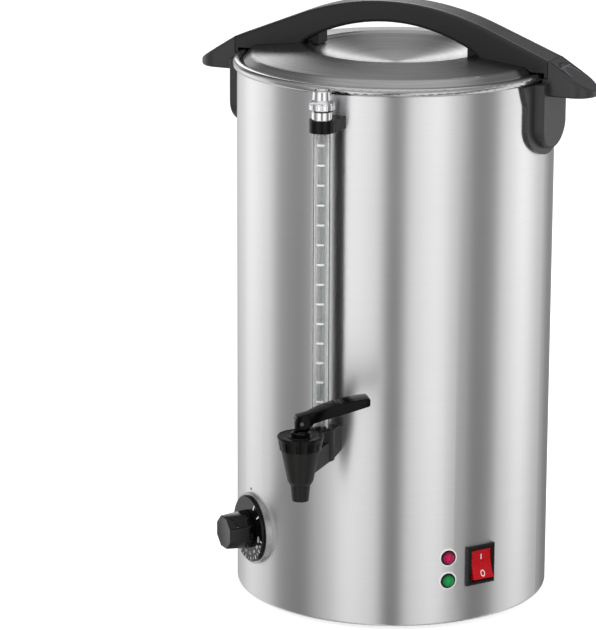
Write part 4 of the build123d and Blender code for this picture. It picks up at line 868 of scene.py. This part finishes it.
# %% [markdown]
# ## The thermostat's knob
# The knob is an eight-sided moulding that narrows towards the front, with a slightly dished face.
# It could be lofted from outlines, but an eight-sided cylinder already has its flats: the far end
# is drawn in, the face is inset and sunk, and all edges get the small round that shows as a light
# line between the flats.
# %% Thermostat knob
KNOB_ANGLE, KNOB_Z = -39.2, 65.0
KNOB_BACK, KNOB_FRONT = 135.8, 158.3  # from the can's axis
KNOB_FLATS, FACE_FLATS = 30.0, 26.5  # across the flats, at its back and at its face
HALF_FLAT = math.radians(22.5)  # half of what one of eight flats takes up
long = KNOB_FRONT - KNOB_BACK
deselect()
bpy.ops.mesh.primitive_cylinder_add(vertices=8, radius=KNOB_FLATS / math.cos(HALF_FLAT) / 2 * MM,
                                    depth=long * MM)
knob = name_it(bpy.context.object, "eight_sided_knob")
edit()
everything()
bpy.ops.transform.rotate(value=HALF_FLAT, orient_axis="Z", center_override=(0, 0, 0))
choose("faces", lambda face: face.normal.z > 0.9)
grow(FACE_FLATS / KNOB_FLATS, FACE_FLATS / KNOB_FLATS, 1, centre=(0, 0, long / 2))
bpy.ops.mesh.inset(thickness=2.4 * MM)
nudge(0, 0, -0.5)
leave()
soften(knob, 0.7, 20)
settle(knob, against(KNOB_ANGLE, (KNOB_BACK + KNOB_FRONT) / 2, KNOB_Z))
belongs(knob, "knob", "gloss_black", "knob_black", "control_knob")

# %% [markdown]
# ## Printed marks
# Numbers and lines are printed on the parts they label and are only a tenth of a millimetre thick.
# An image could carry them, but real ink has an edge. Each mark is drawn flat in front of its part
# and pressed onto it by a Shrinkwrap that projects along one axis; a Solidify gives it thickness.
# %% Printing
INK_MM, GAP_MM = 0.12, 0.03  # the ink's thickness, and a gap that keeps it off the surface


def text_mark(words, size_mm):
    """Flat lettering as a mesh, centred on the origin."""
    deselect()
    bpy.ops.object.text_add()
    text = bpy.context.object.data
    text.body, text.size, text.resolution_u = words, size_mm * MM, 3
    text.align_x = text.align_y = "CENTER"
    bpy.ops.object.convert(target="MESH")
    return bpy.context.object


def bar_mark(width_mm, height_mm, cuts=0):
    """A flat bar as a mesh, cut across its width so that it can follow a curve."""
    deselect()
    bpy.ops.mesh.primitive_plane_add(size=1)
    edit()
    everything()
    grow(width_mm * MM, height_mm * MM, 1)
    for index in range(cuts):
        everything()
        across = (index + 1) / (cuts + 1) - 0.5
        bpy.ops.mesh.bisect(plane_co=(across * width_mm * MM, 0, 0), plane_no=(1, 0, 0))
    leave()
    return bpy.context.object


def press(mark, matrix, target, thick_mm=INK_MM):
    """Lays a flat mark on a part's surface, as seen along the mark's own -Z."""
    mark.matrix_world = matrix
    wrap = mark.modifiers.new("Press", "SHRINKWRAP")
    wrap.target, wrap.wrap_method = nodes[target], "PROJECT"
    wrap.use_project_x, wrap.use_project_y, wrap.use_project_z = False, False, True
    wrap.use_negative_direction, wrap.use_positive_direction = True, False
    wrap.offset = GAP_MM * MM
    skin = mark.modifiers.new("Ink", "SOLIDIFY")
    skin.thickness, skin.offset = thick_mm * MM, 1.0
    apply_all(mark)
    bpy.ops.object.transform_apply()
    return mark


print("ink is", INK_MM, "mm thick")

# %% [markdown]
# ## The dial's numbers
# The temperatures run round the dial from 100 down to 30, each with a long tick outside it and a
# short one half way to the next; two broader bars mark the off end. All are joined into one piece,
# so that the whole scale turns with the knob.
# %% The dial's numbers
STAND_OFF = 140.0  # marks start this far from the can's axis
FIRST_CLOCK, CLOCK_STEP = 100, 22  # degrees clockwise from the dial's top
marks = []


def on_dial(mark, clock, out):
    """Prints a mark this far clockwise from the dial's top and out from its middle."""
    place = against(KNOB_ANGLE, STAND_OFF, KNOB_Z) @ rotate(-clock, "Z") @ move(0, out, 0)
    marks.append(press(mark, place, "dial_skirt"))


for index, number in enumerate(range(100, 20, -10)):
    clock = FIRST_CLOCK + CLOCK_STEP * index
    on_dial(text_mark(str(number), 3.9), clock, 20.4)
    on_dial(bar_mark(0.95, 3.2), clock, 25.4)
    if index:
        on_dial(bar_mark(0.6, 1.8), clock - CLOCK_STEP / 2, 25.2)
for clock, wide in ((28, 1.4), (52, 1.1)):
    on_dial(bar_mark(wide, 5.0), clock, 24.0)
belongs(join("dial_numbers", marks), "knob", "gloss_black", "print_white")

# %% [markdown]
# ## The gauge's graduations
# Fourteen short white lines down the clear shield say how full the tank is. Each is a flat bar with
# cuts across it, so that it bends round the tube as it is pressed on.
# %% The gauge's graduations
LINES, TOP_LINE_Z, LINE_STEP, LINES_ANGLE = 14, 409.4, 16.1, 18
marks = []
for index in range(LINES):
    place = (move(0, GAUGE_Y, TOP_LINE_Z - LINE_STEP * index) @ rotate(LINES_ANGLE, "Z")
             @ rotate(90, "X") @ move(0, 0, 12))
    marks.append(press(bar_mark(6.0, 1.5, 7), place, "gauge_shield"))
belongs(join("gauge_graduations", marks), "root", "clear_plastic", "print_white")

# %% [markdown]
# ## The switch's I and O
# The rocker carries the two plain signs for on and off. The stroke is a bar. The ring is a disc
# whose face is inset and deleted, so that its border is left. Both follow the rocker's bent face.
# %% The switch's I and O
SWITCH_ANGLE, SWITCH_Z, STROKE_UP, RING_UP = 56.3, 51.7, 7.0, -6.6
switch = against(SWITCH_ANGLE, STAND_OFF, SWITCH_Z)
stroke = press(bar_mark(4.6, 0.8, 9), switch @ move(0, STROKE_UP, 0) @ rotate(90, "Z"),
               "switch_rocker", thick_mm=0.18)
deselect()
bpy.ops.mesh.primitive_circle_add(vertices=28, radius=2.3 * MM, fill_type="NGON")
ring = bpy.context.object
edit()
everything()
grow(0.9, 1.12, 1)
bpy.ops.mesh.inset(thickness=0.65 * MM)
bpy.ops.mesh.delete(type="FACE")
leave()
press(ring, switch @ move(0, RING_UP, 0), "switch_rocker")
belongs(join("switch_marks", [stroke, ring]), "rocker", "red_plastic", "print_white")

# %% [markdown]
# ## Turned pieces, and the dial's index dot
# Dots, beads and rims are turned on a lathe, and Blender can do the same: one point is extruded
# along the outline of half the section, and the outline is spun round the axis. `turned` takes it
# as distances from the axis and heights. The first such piece is the small low stud on the can
# above the dial that its numbers are read against.
# %% A lathe, and the index dot
def turned(name, outline, steps):
    """Spins an outline of (radius, height) points in mm round Z."""
    piece = one_point(name)
    nudge(outline[0][0], 0, outline[0][1])
    for (r0, z0), (r, z) in zip(outline, outline[1:]):
        extrude(r - r0, 0, z - z0)
    everything()
    bpy.ops.mesh.spin(steps=steps, angle=math.tau, center=(0, 0, 0), axis=(0, 0, 1))
    heal()
    smooth(35)
    return piece


DOT_ANGLE, DOT_Z = -40.8, 98.0
dot = turned("dial_index_dot", [(0.0, 0.32), (0.9, 0.3), (1.25, 0.0), (1.25, -0.6), (0.0, -0.6)],
             20)
settle(dot, against(DOT_ANGLE, BODY_R, DOT_Z))
belongs(dot, "root", "tap_black", "marker_ink")

# %% [markdown]
# ## The bonnet's rings
# The bonnet screws onto the tap's cup. A polished bead runs round its top edge and catches a thin
# line of light, and a dark seam shows where it meets the cup. The bonnet's own mesh belongs to the
# frame and stays as it is, so both are thin turned rings over it.
# %% Bonnet rings
for name, key, outline in (
        ("bonnet_top_bead", "bonnet_black", [(17.3, 179.9), (17.7, 180.35), (18.3, 180.3),
                                             (18.75, 179.8), (18.7, 179.2), (17.6, 179.2),
                                             (17.3, 179.9)]),
        ("bonnet_seam", "gloss_black", [(15.9, 169.1), (16.8, 169.0), (17.0, 169.5),
                                        (16.8, 170.0), (15.9, 170.0), (15.9, 169.1)])):
    ring = turned(name, outline, 60)
    settle(ring, move(0, TAP_Y, 0))
    belongs(ring, "root", "tap_black", key)

# %% [markdown]
# ## Lines on the handle
# The handle's grained top is a panel between two smooth margins, painted dark for the shade of a
# groove, each with a fine pale line of painted highlight where the grain begins. They are drawn
# flat as thin strips, bent to the handle's waist point by point, and pressed down onto its curved
# top like the printed marks.
# %% Margins of the arch
ARCH_MID, ARCH_END = 14.5, 17.5  # half the arch's width, in the middle and at its ends
PARTING_X = 138.0  # where the arch meets the grips
ARCH_REACH = PARTING_X - 1.5  # the strips stop just short of it
ABOVE = move(0, 0, 520)  # strips start above the handle
STRIP_MM = 0.1
# A smooth strip of the mould, shinier than the grain and painted darker for a groove's shade.
moulded("groove_shade_black", "Smooth black margin painted dark for groove shade", "#0d0d0d", "#070707", 0.22, 2.0, 0.05,
        0.3)
# The grain's edge is painted pale grey: a painted highlight.
moulded("edge_highlight_grey", "Painted highlight on black polypropylene edges", "#747476", "#5c5c5e", 0.35, 0.8, 0.1)


def margin(name, inset, width, side, key, steps=46):
    """A strip along the arch's top, this far in from its edge, in mm."""
    mark = name_it(bar_mark(2 * ARCH_REACH, width, steps - 1), name)
    edit()
    for index in range(steps + 1):
        x = (2 * index / steps - 1) * ARCH_REACH
        half = ARCH_MID + (ARCH_END - ARCH_MID) * (abs(x) / PARTING_X) ** 2
        choose("verts", lambda vert: abs(vert.co.x - x * MM) < MM)
        nudge(0, side * (half - inset), 0)
    leave()
    press(mark, ABOVE, "lid_handle", thick_mm=STRIP_MM)
    belongs(mark, "lid", "handle_black", key)


# Dark margins are painted groove shade; the pale lines are painted highlights.
for side, label in ((-1, "front"), (1, "rear")):
    margin(f"arch_shade_margin_{label}", 3.4, 1.7, side, "groove_shade_black")
    margin(f"arch_edge_light_{label}", 4.6, 0.45, side, "edge_highlight_grey")

# %% [markdown]
# ## Lines on the grips
# On each grip the margin, painted dark for a groove's shade, carries on round the nose, and a fine
# groove outlines the oval pad where a thumb lies, drawn as a pale line of painted highlight. A
# strip goes out along one side, is spun round the nose and comes back along the other, like a line
# drawn in one stroke. A bar at its back closes the pad's line.
# %% Margins and pads of the grips
NOSE_X, NOSE_R = 157.5, 17.5  # the nose's centre and its radius
LEGS = 5  # short lengths in each straight side


def nose_line(name, radius, width, back_x, half_turn, grip, key, close=False):
    """A strip round a grip's nose, with two straight legs back to back_x, in mm."""
    def leg(start, step, side):
        for index in range(LEGS):
            x = (start + index * step) * MM
            choose("edges", lambda edge: all(abs(vert.co.x - x) < TINY and vert.co.y * side > 0
                                             for vert in edge.verts))
            extrude(step, 0, 0)

    step = (NOSE_X - back_x) / LEGS
    mark = one_point(name)
    nudge(back_x, -radius - width / 2, 0)
    extrude(0, width, 0)
    leg(back_x, step, -1)
    choose("edges", lambda edge: all(abs(vert.co.x - NOSE_X * MM) < TINY for vert in edge.verts))
    bpy.ops.mesh.spin(steps=24, angle=math.pi, center=(NOSE_X * MM, 0, 0), axis=(0, 0, 1))
    leg(NOSE_X, -step, 1)
    leave()
    if close:
        bar = bar_mark(2 * radius + width, width, 12)
        settle(bar, move(back_x, 0, 0) @ rotate(90, "Z"))
        join(name, [mark, bar])
    only(mark)
    edit()
    outwards()
    press(mark, ABOVE @ rotate(half_turn, "Z"), grip, thick_mm=STRIP_MM)
    belongs(mark, "root", "handle_black", key)


# The grip margins are painted groove shade; the pad lines are painted highlights.
for half_turn, grip in ((0, "right_grip"), (180, "left_grip")):
    nose_line(f"{grip}_margin", NOSE_R - 3.4, 1.7, PARTING_X + 1.5, half_turn, grip,
              "groove_shade_black")
    nose_line(f"{grip}_pad_highlight_line", 10.2, 0.6, 147.5, half_turn, grip, "edge_highlight_grey", close=True)

# %% [markdown]
# ## Lamp rims painted white for their highlight
# A thin flange shows round each lens where the lamp is clipped into the sheet; its white is a
# painted highlight. It is turned once and copied for the second lamp, each with its own mesh.
# %% Lamp rims
rim = turned("red_lamp_rim", [(6.35, 0.2), (6.45, 0.7), (6.8, 0.8), (7.5, 0.5), (7.65, 0.0),
                              (7.65, -0.6), (6.35, -0.6), (6.35, 0.2)], 44)
# Both rims are painted white as a highlight, not given a metal finish.
for piece, height_mm in ((rim, RED_LAMP_Z), (copy_of(rim, "green_lamp_rim"), GREEN_LAMP_Z)):
    settle(piece, against(LAMP_ANGLE, BODY_R, height_mm))
    belongs(piece, "root", "bright_ring", "lamp_rim_highlight")

# %% [markdown]
# ## The end
# %% The end
deselect()
